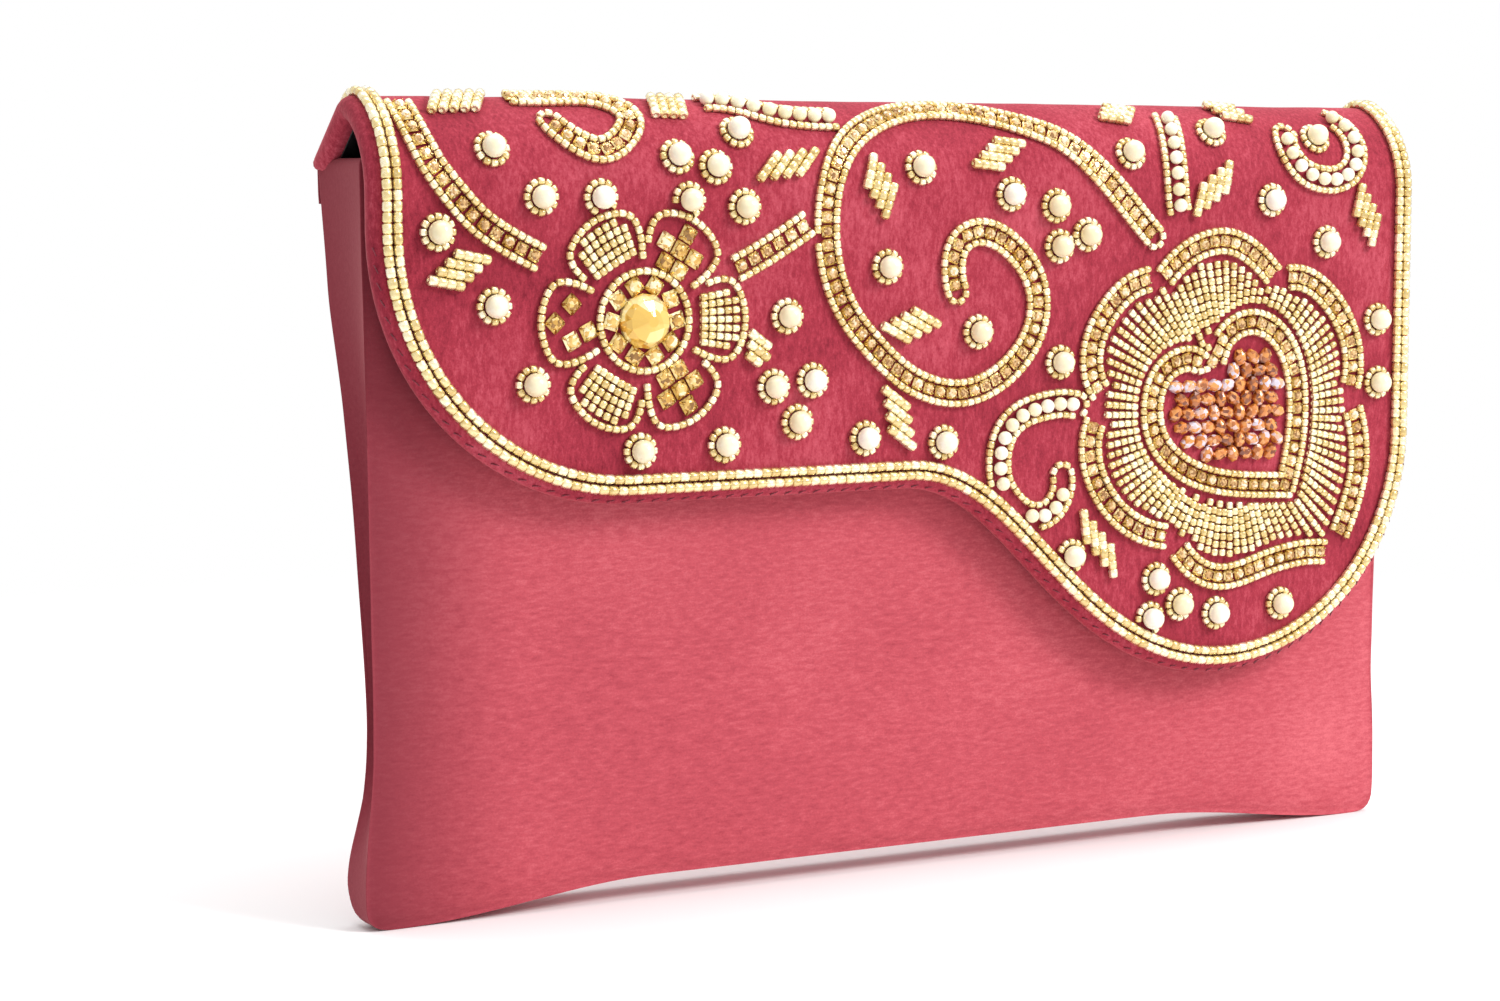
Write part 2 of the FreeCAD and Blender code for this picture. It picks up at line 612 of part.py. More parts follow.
def cut_stone(radius, height):
    """A pointed stone: a straight girdle under a cone with a small flat on top."""
    def make(u, v, turn):
        point, down, out = flap_place(u, v, gap)
        girdle = Part.makeCylinder(radius, height * 0.35, point, out)
        top = Part.makeCone(radius, radius * 0.12, height * 0.65, point + out * (height * 0.35), out)
        return rim_of(u, v, radius + SEAM / 2), girdle.fuse(top).removeSplitter()
    return make


scale = bead_scale
seed_r = size("seed_radius") * scale
seed_l = size("seed_length") * scale
thread = size("thread_gap") * scale
seed_pitch = seed_l + thread
stone_r = size("stone_radius") * scale
stone_pitch = 2 * stone_r + thread
pearl_r = size("pearl_radius") * scale
scroll_r = size("scroll_pearl_radius") * scale
petal_r = size("petal_stone_radius") * scale
crystal_r = size("crystal_radius") * scale
centre_r = size("centre_stone_radius") * scale
stone_h = size("stone_height") * scale

seed = bead(seed_r, seed_l)
bugle = bead(size("bugle_radius") * scale, size("bugle_length") * scale)
ring_seed = pearl(seed_r)
chain_stone = stone(stone_r, stone_h)
petal_stone = stone(petal_r, stone_h)
crystal = cut_stone(crystal_r, stone_h * 1.25)
rosette_pearl = pearl(pearl_r)
scroll_pearl = pearl(scroll_r)
centre_stone = cut_stone(centre_r, size("centre_stone_height") * scale)

groups = {}
ORDER = []


def sew_one(group, maker, place):
    """Adds one piece to a group if there is room beside everything sewn before."""
    u, v, turn = place
    outline, solid = maker(u, v, turn)
    if not is_free(u, v, outline):
        return False
    take(u, v, outline)
    if group not in groups:
        groups[group] = []
        ORDER.append(group)
    groups[group].append(solid)
    return True


def sew(group, maker, places):
    for place in places:
        sew_one(group, maker, place)


# --------------------------------------------------------------------------- lines of beadwork
def curve(points, closed=False):
    """Closely spaced points along a smooth line through the design's points."""
    spots = [Vector(u * spread_u, v * spread_v, 0) for u, v in points]
    line = Part.BSplineCurve()
    line.interpolate(Points=spots, PeriodicFlag=closed)
    count = int(line.length() / 0.25)
    return [(p.x, p.y) for p in line.discretize(Number=count)]


def beside(line, distance):
    """The line moved sideways: a positive distance goes to the right of its travel on the velvet."""
    moved = []
    for k in range(len(line)):
        u0, v0 = line[max(k - 1, 0)]
        u1, v1 = line[min(k + 1, len(line) - 1)]
        run = math.hypot(u1 - u0, v1 - v0)
        if run > 0:
            moved.append((line[k][0] - distance * (v1 - v0) / run, line[k][1] + distance * (u1 - u0) / run))
    return moved


def spaced(line, pitch):
    """Evenly spaced places along a line, each with the direction of travel."""
    lengths = [0.0]
    for k in range(1, len(line)):
        step = math.hypot(line[k][0] - line[k - 1][0], line[k][1] - line[k - 1][1])
        lengths.append(lengths[-1] + step)
    count = int(lengths[-1] / pitch)
    if count < 1:
        return []
    start = (lengths[-1] - (count - 1) * pitch) / 2
    places = []
    k = 1
    for index in range(count):
        target = start + index * pitch
        while k < len(line) - 1 and lengths[k] < target:
            k += 1
        share = (target - lengths[k - 1]) / max(lengths[k] - lengths[k - 1], 1e-9)
        u = line[k - 1][0] + share * (line[k][0] - line[k - 1][0])
        v = line[k - 1][1] + share * (line[k][1] - line[k - 1][1])
        turn = math.atan2(line[k][1] - line[k - 1][1], line[k][0] - line[k - 1][0])
        places.append((u, v, turn))
    return places


NUDGE = 0.1


def sew_line(group, maker, line, pitch):
    """Sews pieces along a line, nudging a piece on where a bend or another row is in its way."""
    spots = spaced(line, NUDGE)
    run = len(spots) * NUDGE
    skip = run / max(int(run / pitch), 1)
    at = skip / 2
    while at < run - 0.4 * pitch:
        if sew_one(group, maker, spots[int(at / NUDGE)]):
            at += max(pitch, skip)
        else:
            at += NUDGE


def loop_places(u, v, radius, count, first=0.0):
    places = []
    for k in range(count):
        angle = first + 2 * math.pi * k / count
        places.append((u + radius * math.cos(angle), v + radius * math.sin(angle), angle + math.pi / 2))
    return places


side = stone_r + seed_r + thread


def round_end(line, distance):
    """Half a circle about the line's last point, from its left side to its right side."""
    u, v = line[-1]
    heading = math.atan2(v - line[-4][1], u - line[-4][0])
    turns = [heading + math.pi * (k / 12.0 - 0.5) for k in range(1, 12)]
    return [(u + distance * math.cos(a), v + distance * math.sin(a)) for a in turns]


def wrapped(line, distance, start_round, end_round):
    """The strings that run beside a line, joined round the ends that are rounded."""
    left = beside(line, -distance)
    right = beside(line, distance)
    back = list(reversed(line))
    if start_round and end_round:
        loop = left + round_end(line, distance) + right[::-1] + round_end(back, distance)
        return [loop + [left[0]]]
    if end_round:
        return [left + round_end(line, distance) + right[::-1]]
    if start_round:
        return [right[::-1] + round_end(back, distance) + left]
    return [left, right]


def chain(stones, beads, line, start_round=False, end_round=False):
    """A row of cup stones with a string of seed beads down each side."""
    sew_line(stones, chain_stone, line, stone_pitch)
    for string in wrapped(line, side, start_round, end_round):
        sew_line(beads, seed, string, seed_pitch)


# ------------------------------------------------------------------------ the border's two rows
def border_line(inset):
    """The flap's edge unrolled and moved inwards, from the root at the left to that at the right."""
    line = []
    for edge in outline_edges(0, mouth_z)[1:-1]:
        points = edge.discretize(Number=max(int(edge.Length / 0.5), 2))
        points = [(p.x, crown_run + shoulder_run + shoulder.z - p.z) for p in points]
        if line and math.hypot(points[0][0] - line[-1][0], points[0][1] - line[-1][1]) > 0.01:
            points.reverse()
        line += points[1:] if line else points
    top_back = around(crown, size("crown_radius"), back_angle)
    tail = -back_run - (top_back - root).Length + 2 * size("bugle_radius")
    steps = 200
    rise = [(-flap_half, tail + (line[0][1] - tail) * k / steps) for k in range(steps)]
    fall = [(flap_half, line[-1][1] + (tail - line[-1][1]) * k / steps) for k in range(1, steps + 1)]
    return beside(rise + line + fall, -inset)


bugle_pitch = size("bugle_length") * scale + thread
margin = size("edge_margin")
sew_line("border_outer_beads", bugle, border_line(margin), bugle_pitch)
sew_line("border_inner_beads", bugle, border_line(margin + size("row_step")), bugle_pitch)

# ------------------------------------------------------------------------------------ the flower
FLOWER = (-70.0, 52.8)
flower_u = FLOWER[0] * spread_u
flower_v = FLOWER[1] * spread_v
sew("flower_centre_stone", centre_stone, [(flower_u, flower_v, 0)])
ring_r = centre_r + thread + petal_r
RING_STONES = 10
sew("flower_ring_stones", petal_stone, loop_places(flower_u, flower_v, ring_r, RING_STONES))
eye_r = ring_r + petal_r + seed_r + thread
sew("flower_outline_beads", seed,
    loop_places(flower_u, flower_v, eye_r, int(2 * math.pi * eye_r / seed_pitch)))
petal_in = eye_r + 2 * seed_r + thread
petal_out = petal_in + 11.0 * scale
PETAL_HALF = math.radians(27)


def petal_line(heading):
    """A fan-shaped petal with rounded outer corners, starting and ending at the eye."""
    width = PETAL_HALF
    polar = [
        (petal_in, -width * 1.02), (petal_in + 0.45 * (petal_out - petal_in), -width * 1.0),
        (petal_in + 0.86 * (petal_out - petal_in), -width * 0.8), (petal_out, -width * 0.35),
        (petal_out, width * 0.35), (petal_in + 0.86 * (petal_out - petal_in), width * 0.8),
        (petal_in + 0.45 * (petal_out - petal_in), width * 1.0), (petal_in, width * 1.02),
    ]
    points = [
        ((flower_u + r * math.cos(heading + a)) / spread_u, (flower_v + r * math.sin(heading + a)) / spread_v)
        for r, a in polar
    ]
    return curve(points)


for number in range(6):
    heading = math.radians(180 + 60 * number)
    sew_line("flower_outline_beads", seed, petal_line(heading), seed_pitch)
    inner = petal_in + seed_r
    outer = petal_out - seed_r - thread
    if number % 2 == 0:
        row = 2 * petal_r + thread * 0.5
        far = outer - petal_r - thread * 0.4
        spots = [(far, -row), (far, 0), (far, row), (far - row, -row), (far - row, 0), (far - row, row)]
        spots += [(far - 2 * row, -row / 2), (far - 2 * row, row / 2)]
        places = []
        for out_run, cross in spots:
            place_u = flower_u + out_run * math.cos(heading) - cross * math.sin(heading)
            place_v = flower_v + out_run * math.sin(heading) + cross * math.cos(heading)
            places.append((place_u, place_v, 0))
        sew("flower_petal_stones", petal_stone, places)
    else:
        strings = 7
        across = Vector(-math.sin(heading), math.cos(heading), 0)
        step = 2 * seed_r + thread * 0.8
        for k in range(strings):
            shift = (k - (strings - 1) / 2) * step
            reach_in = inner + 0.2
            reach_out = outer - 0.035 * shift * shift / scale
            line = []
            for j in range(41):
                run = reach_in + (reach_out - reach_in) * j / 40.0
                fan = shift * (0.95 + 0.3 * j / 40.0)
                line.append((flower_u + run * math.cos(heading) + across.x * fan,
                             flower_v + run * math.sin(heading) + across.y * fan))
            sew_line("flower_petal_beads", seed, line, seed_pitch)

# ----------------------------------------------------------------- the vine, the scroll, the link
VINE = [
    (-118.5, 5.7), (-117.2, 16.1), (-114.9, 22.1), (-110.6, 27.8), (-106.4, 32.2), (-101.2, 35.8), (-92.6, 40.2),
]
chain("vine_stones", "vine_beads", curve(VINE))
HOOK = [(-88, 11.7), (-84, 16.2), (-78.5, 18.4), (-72.6, 15.2), (-70, 9.8), (-74, 4.6), (-83, 3.2), (-95, 3)]
chain("vine_stones", "vine_beads", curve(HOOK), True)
LINK = [(-49.5, 42.8), (-44, 40.2), (-38.3, 37.1), (-32.2, 33.5)]
chain("vine_stones", "vine_beads", curve(LINK))

# ---------------------------------------------------------------------------- the long spiral
SPIRAL = [
    (54.5, 37.2), (46.7, 29.4), (39.7, 22.4), (31.2, 15.1), (22.4, 11.1), (13.1, 8.1), (0.7, 6.9),
    (-8, 8.7), (-14.7, 11.7), (-22.9, 18.1), (-26.9, 25.4), (-28, 33.2), (-26.9, 43.2), (-22.9, 52.2),
    (-16.8, 59.2), (-8, 66.2), (0, 69.2), (6, 69.5), (12, 67.8), (18, 63.9), (22.6, 58.2), (24.3, 51.8),
    (22.8, 45.2), (18.5, 39.9), (13.1, 36.5), (8.1, 35.9), (4.1, 38.2), (2.7, 42.8), (3.7, 48.2),
]
chain("spiral_stones", "spiral_beads", curve(SPIRAL), True, True)

# ------------------------------------------------------------------------- the heart in its lotus
LOTUS_LOBES = [
    [(55.5, 44.8), (62.8, 38.8), (69, 36.5), (75, 36.2), (82.5, 39.2), (89, 44.8)],
    [(91, 44.5), (97, 45), (103.5, 48.8), (109, 55.2), (112.2, 63.2), (111.6, 72.2)],
    [(112.4, 75.8), (114.4, 83.2), (114.6, 90.2), (112.6, 98.2), (109, 106.2)],
    [(53.5, 44.2), (46.5, 46.5), (40.5, 51.9), (36.6, 58.8), (36, 65.5), (39, 72.2)],
    [(37.3, 75.8), (35.8, 83.2), (38.2, 91.5), (44.2, 99), (51, 103.2), (58.5, 105.2)],
    [(60.3, 107.2), (65, 112), (71, 114.7), (78, 114.8), (86, 112.8), (94, 111.2), (103, 111.2)],
]
LOTUS_SIDE = [1, 1, 1, -1, -1, -1]
inward = stone_r + seed_r + thread
for lobe, way in zip(LOTUS_LOBES, LOTUS_SIDE):
    line = curve(lobe)
    sew_line("lotus_outline_beads", seed, line, seed_pitch)
for lobe, way in zip(LOTUS_LOBES, LOTUS_SIDE):
    line = beside(curve(lobe), way * inward)
    sew_line("lotus_stones", chain_stone, line, stone_pitch)
for lobe, way in zip(LOTUS_LOBES, LOTUS_SIDE):
    line = beside(curve(lobe), way * 2 * inward)
    sew_line("lotus_outline_beads", seed, line, seed_pitch)

HEART = [
    (69.3, 63.9), (66, 62), (60, 62.5), (54.6, 66.5), (52.2, 73.2), (53.6, 81.8), (60, 88.8), (69.5, 93),
    (80, 94.7), (93.2, 95.5), (95.4, 87.8), (96.6, 80.2), (96.6, 72.2), (95, 64.8), (91.4, 58.9), (86, 55),
    (79.6, 54.2), (74, 56.5), (70.8, 60),
]
HEART_TIP = 9
heart_left = curve(HEART[:HEART_TIP + 1])
heart_right = curve(HEART[HEART_TIP:])
heart_edge = heart_left + heart_right[1:] + [heart_left[0]]


def heart_inset(distance):
    """The heart's edge moved inwards, without the stretches that would cross at the notch."""
    loop = []
    for u, v in beside(heart_edge, -distance):
        near = min(math.hypot(u - a, v - b) for a, b in heart_edge[::3])
        if near > distance - 0.3:
            loop.append((u, v))
    return loop + [loop[0]]


sew_line("heart_outline_beads", seed, heart_left, seed_pitch)
sew_line("heart_outline_beads", seed, heart_right, seed_pitch)
sew_line("heart_stones", chain_stone, heart_inset(inward), stone_pitch)
sew_line("heart_outline_beads", seed, heart_inset(2 * inward), seed_pitch)


def inside(loop, u, v):
    crossing = False
    for k in range(len(loop)):
        u0, v0 = loop[k - 1]
        u1, v1 = loop[k]
        if (v0 > v) != (v1 > v) and u < u0 + (v - v0) * (u1 - u0) / (v1 - v0):
            crossing = not crossing
    return crossing


fill = heart_inset(2 * inward + seed_r + thread + crystal_r * 0.9)
step = 2 * crystal_r + thread
low_u = min(p[0] for p in fill)
high_u = max(p[0] for p in fill)
low_v = min(p[1] for p in fill)
high_v = max(p[1] for p in fill)
places = []
lines = int((high_v - low_v) / (step * 0.87)) + 1
for j in range(lines):
    v = low_v + j * step * 0.87
    shift = step / 2 if j % 2 else 0.0
    for k in range(int((high_u - low_u) / step) + 2):
        u = low_u + shift + k * step
        if inside(fill, u, v):
            places.append((u, v, 0))
sew("heart_crystals", crystal, places)

# bead strings fan out from the heart to the lotus
HUB = (75.5 * spread_u, 76.7 * spread_v)
ray_count = int(150 * scale / (2 * seed_r + thread))
hub_reach = 48.0 * scale
lotus_loop = []
for lobe in (0, 1, 2):
    lotus_loop += beside(curve(LOTUS_LOBES[lobe]), LOTUS_SIDE[lobe] * 2 * inward)
for lobe in (5, 4, 3):
    back = beside(curve(LOTUS_LOBES[lobe]), LOTUS_SIDE[lobe] * 2 * inward)
    back.reverse()
    lotus_loop += back
heart_clear = beside(heart_edge, seed_r * 2 + thread)
for k in range(ray_count):
    angle = 2 * math.pi * k / ray_count
    ray = []
    for j in range(int(hub_reach / 0.25)):
        u = HUB[0] + j * 0.25 * math.cos(angle)
        v = HUB[1] + j * 0.25 * math.sin(angle)
        if not inside(heart_clear, u, v) and inside(lotus_loop, u, v):
            ray.append((u, v))
    if len(ray) > 4:
        sew_line("lotus_ray_beads", seed, ray, seed_pitch)

# ------------------------------------------------------------------------------ pearl scrolls
TOP_SCROLL = [(93, 13.8), (93, 19.6), (95.5, 22.8), (99.9, 24.6), (104.4, 24.8), (108.8, 22.9), (111.2, 19.2),
              (111.6, 14.8), (110.2, 10.8), (107, 8.2)]
LOW_SCROLL = [(34.5, 73.2), (29.6, 72.7), (25.5, 73.2), (21.5, 74.2), (17.4, 76.7), (15.2, 80.2), (14.4, 84.8),
              (15.3, 89.7), (18.3, 93.8), (22.6, 96.5), (27, 96.2), (30.2, 93), (30.8, 88.2)]
scroll_pitch = 2 * scroll_r + thread
scroll_side = scroll_r + seed_r + thread
for scroll in (TOP_SCROLL, LOW_SCROLL):
    line = curve(scroll)
    sew_line("scroll_pearls", scroll_pearl, line, scroll_pitch)
    for string in wrapped(line, scroll_side, True, scroll is LOW_SCROLL):
        sew_line("scroll_beads", seed, string, seed_pitch)

COLUMN = [(62.6, 8), (61.3, 14.2), (60.4, 20.2), (60.3, 26.2), (61.2, 32.2)]
column_line = curve(COLUMN)
sew_line("column_pearls", scroll_pearl, column_line, scroll_pitch)
for way in (-scroll_side, scroll_side):
    sew_line("column_beads", seed, beside(column_line, way), seed_pitch)

BAND = [(-52, 4.8), (-44.5, 5.7), (-37, 8.7), (-30, 10), (-22.5, 10.2)]
band_line = curve(BAND)
sew_line("band_pearls", scroll_pearl, band_line, scroll_pitch)
for way in (-scroll_side, scroll_side):
    sew_line("band_beads", seed, beside(band_line, way), seed_pitch)

# --------------------------------------------------------------------------- rosettes of pearls
ROSETTES = [
    (-102.2, 18.4), (-92.6, 28.1), (-79.6, 28.2), (-114.5, 34.8), (-102.8, 49.2), (-94.6, 64.7), (-47, 14.2),
    (-47.3, 30.2), (-37.4, 52.5), (-13.5, 42.8), (-5.1, 22.2), (17.1, 27.9), (9, 56.8), (30, 63.8),
    (49, 18.9), (72.7, 13.2), (86.4, 29.4), (102, 38.8), (117, 56.5), (117.4, 70.8), (-71.1, 78.7), (-52, 78.2),
    (-18.7, 78.2), (0.5, 79.8), (33.4, 105.8), (72.5, 120.8), (90.4, 119.8), (101, 14.8),
    (-62, 19.9), (-53.6, 22.1), (-60, 28.8), (-40.6, 66.8), (-31.4, 65.8), (-35, 74.2),
    (28.6, 30.4), (36.8, 36.6), (29.5, 39), (56, 112.2), (62.5, 118.2), (54.5, 120.8),
]
RING_BEADS = 12
rosette_ring = pearl_r + seed_r + thread
for u, v in ROSETTES:
    at = (u * spread_u, v * spread_v)
    outline, solid = rosette_pearl(at[0], at[1], 0)
    if is_free(at[0], at[1], outline):
        sew("rosette_pearls", rosette_pearl, [(at[0], at[1], 0)])
        ring = max(rosette_ring, (2 * seed_r + thread * 0.7) * RING_BEADS / (2 * math.pi))
        sew("rosette_beads", ring_seed, loop_places(at[0], at[1], ring, RING_BEADS))

# ------------------------------------------------------------------------------- leaf sprays
# centre across and down, heading of the strings in degrees, number of strings, and how far each
# string slides along itself past the one before it
LEAVES = [
    (-36.8, 21.6, -47, 4, 2.3), (-15.3, 26.1, 109, 4, -1.5), (-110.2, 42.1, 11, 4, -1.5),
    (-7.8, 55, 27, 4, -1.7), (-10.7, 74.3, 35, 4, 2.0), (14.9, 19.1, 7, 4, -1.9),
    (70.3, 26.8, 105, 4, 2.2), (113.3, 32.9, 104, 4, -1.8), (40.4, 103.5, 82, 4, -2.9),
    (-106, 5.6, 119, 5, 1.3), (-60, 6.4, 104, 4, 0.4), (50, 7.7, 12, 3, -1.0), (81, 6.4, 12, 3, 1.5),
    (-45, 58.8, 35, 3, 1.0), (45, 86.2, 100, 3, 1.0),
]
LEAF_BEADS = 4
leaf_bead = bead(size("leaf_radius") * scale, size("leaf_length") * scale)
leaf_pitch = size("leaf_length") * scale + thread / 2
leaf_step = 2 * size("leaf_radius") * scale + thread
for u, v, heading, strings, slide in LEAVES:
    turn = math.radians(heading)
    along = (math.cos(turn), math.sin(turn))
    aside = (-along[1], along[0])
    for k in range(strings):
        from_middle = k - (strings - 1) / 2
        shift = from_middle * leaf_step
        run = from_middle * slide * scale
        mid_u = u * spread_u + aside[0] * shift + along[0] * run
        mid_v = v * spread_v + aside[1] * shift + along[1] * run
        for number in range(LEAF_BEADS):
            along_run = (number - (LEAF_BEADS - 1) / 2) * leaf_pitch
            place = (mid_u + along[0] * along_run, mid_v + along[1] * along_run, turn)
            sew_one("leaf_beads", leaf_bead, place)

for group in ORDER:
    solids = groups[group]
    shape = solids[0] if len(solids) == 1 else Part.makeCompound(solids)
    feature(group, shape)
    print("%-22s %4d" % (group, len(solids)))

# -------------------------------------------------------------------------- check and write
doc.recompute()
problems = []
for item in doc.Objects:
    if "Invalid" in item.State or "Error" in item.State:
        problems.append("%s is %s" % (item.Label, item.State))
for item in PARTS:
    if item.Shape.isNull() or not item.Shape.isValid() or not item.Shape.Solids:
        problems.append("%s has no valid solid" % item.Label)
labels = [item.Label for item in PARTS]
if len(labels) != len(set(labels)):
    problems.append("two sub-parts share a label")
if problems:
    raise SystemExit("not written: " + "; ".join(problems))
os.makedirs("parts", exist_ok=True)
for item in PARTS:
    item.Shape.exportStep("parts/%s.step" % item.Label)
print("%d nodes written" % len(PARTS))
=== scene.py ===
import math

import bmesh
import bpy
import numpy as np
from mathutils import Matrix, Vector, noise


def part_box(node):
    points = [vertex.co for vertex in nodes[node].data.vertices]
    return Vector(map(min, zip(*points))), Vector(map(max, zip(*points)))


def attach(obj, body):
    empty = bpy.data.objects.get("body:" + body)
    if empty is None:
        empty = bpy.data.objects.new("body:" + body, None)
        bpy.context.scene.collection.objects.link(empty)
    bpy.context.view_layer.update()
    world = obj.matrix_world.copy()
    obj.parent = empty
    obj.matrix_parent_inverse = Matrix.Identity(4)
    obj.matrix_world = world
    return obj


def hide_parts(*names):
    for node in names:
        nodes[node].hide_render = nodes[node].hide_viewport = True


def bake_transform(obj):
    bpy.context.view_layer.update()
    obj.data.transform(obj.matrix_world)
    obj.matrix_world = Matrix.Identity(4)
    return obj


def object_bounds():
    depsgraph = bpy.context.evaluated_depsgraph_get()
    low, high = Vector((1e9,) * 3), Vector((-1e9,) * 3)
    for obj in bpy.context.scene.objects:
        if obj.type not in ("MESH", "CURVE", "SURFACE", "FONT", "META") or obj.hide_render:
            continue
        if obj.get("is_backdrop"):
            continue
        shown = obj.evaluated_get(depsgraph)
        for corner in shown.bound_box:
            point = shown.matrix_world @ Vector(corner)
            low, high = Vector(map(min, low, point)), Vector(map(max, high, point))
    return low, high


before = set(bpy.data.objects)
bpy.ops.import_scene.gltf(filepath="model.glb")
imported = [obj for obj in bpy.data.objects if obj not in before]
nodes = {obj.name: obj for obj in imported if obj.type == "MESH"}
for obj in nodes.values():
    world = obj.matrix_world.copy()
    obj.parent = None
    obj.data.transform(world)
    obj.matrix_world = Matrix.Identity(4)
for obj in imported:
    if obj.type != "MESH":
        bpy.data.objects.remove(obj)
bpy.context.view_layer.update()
mm = 0.001

# sizes that the whole purse shares, in millimetres
coverLow, coverHigh = [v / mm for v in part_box("flap_cover")]
wallLow, wallHigh = [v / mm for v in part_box("front_cover")]
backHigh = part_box("back_cover")[1] / mm
baseLow, baseHigh = [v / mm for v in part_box("base_cover")]
halfWidth = wallHigh.x
mouthHeight = wallHigh.z
frontFoot, frontLean = baseLow.y, baseLow.y - wallLow.y
backFoot, backLean = baseHigh.y, backHigh.y - baseHigh.y
rng = np.random.default_rng(7)


def clearSelection():
    if bpy.context.object and bpy.context.object.mode != "OBJECT":
        bpy.ops.object.mode_set(mode="OBJECT")
    bpy.ops.object.select_all(action="DESELECT")


def makeActive(obj):
    clearSelection()
    obj.select_set(True)
    bpy.context.view_layer.objects.active = obj


def smoothStep(x):
    x = np.clip(x, 0.0, 1.0)
    return x * x * (3 - 2 * x)


def getPoints(obj):
    flat = np.zeros(len(obj.data.vertices) * 3)
    obj.data.vertices.foreach_get("co", flat)
    return flat.reshape(-1, 3)


def setPoints(obj, points):
    obj.data.vertices.foreach_set("co", np.asarray(points, np.float32).ravel())
    obj.data.update()


def fixNormals(obj, inward=False):
    makeActive(obj)
    bpy.ops.object.mode_set(mode="EDIT")
    bpy.ops.mesh.select_all(action="SELECT")
    bpy.ops.mesh.normals_make_consistent(inside=inward)
    bpy.ops.object.mode_set(mode="OBJECT")


def flipFaces(obj):
    makeActive(obj)
    bpy.ops.object.mode_set(mode="EDIT")
    bpy.ops.mesh.select_all(action="SELECT")
    bpy.ops.mesh.flip_normals()
    bpy.ops.object.mode_set(mode="OBJECT")


def thickenSheet(obj, thickness, offset):
    makeActive(obj)
    thicken = obj.modifiers.new("thicken", "SOLIDIFY")
    thicken.thickness = thickness * mm
    thicken.offset = offset
    bpy.ops.object.modifier_apply(modifier="thicken")


def softSwell(points, size, height, seed):
    # slow random swell of cloth over soft foam, the same at every run
    shift = Vector((seed * 17.3, seed * 5.1, seed * 9.7))
    return np.array([noise.noise(Vector(p) / size + shift) for p in points]) * height


# the materials, each from the real stuff it stands for
def hexColour(text):
    parts = [int(text[i:i + 2], 16) / 255 for i in (1, 3, 5)]
    linear = [c / 12.92 if c <= 0.04045 else ((c + 0.055) / 1.055) ** 2.4 for c in parts]
    return (*linear, 1.0)


def addNode(tree, kind, links=(), **settings):
    node = tree.nodes.new(kind)
    for key, value in settings.items():
        if key.startswith("in_"):
            node.inputs[key[3:].replace("_", " ")].default_value = value
        else:
            setattr(node, key, value)
    for socket, source in links:
        tree.links.new(source, node.inputs[socket])
    return node


def startMaterial(name):
    material = bpy.data.materials.new(name)
    material.use_nodes = True
    tree = material.node_tree
    shader = tree.nodes["Principled BSDF"]
    coords = tree.nodes.new("ShaderNodeTexCoord").outputs["Object"]
    return material, tree, shader, coords


def ramp(tree, source, stops):
    node = addNode(tree, "ShaderNodeValToRGB", [("Fac", source)])
    while len(node.color_ramp.elements) < len(stops):
        node.color_ramp.elements.new(0.5)
    for element, (place, colour) in zip(node.color_ramp.elements, stops):
        element.position = place
        element.color = hexColour(colour) if isinstance(colour, str) else (colour, colour, colour, 1)
    return node.outputs["Color"]


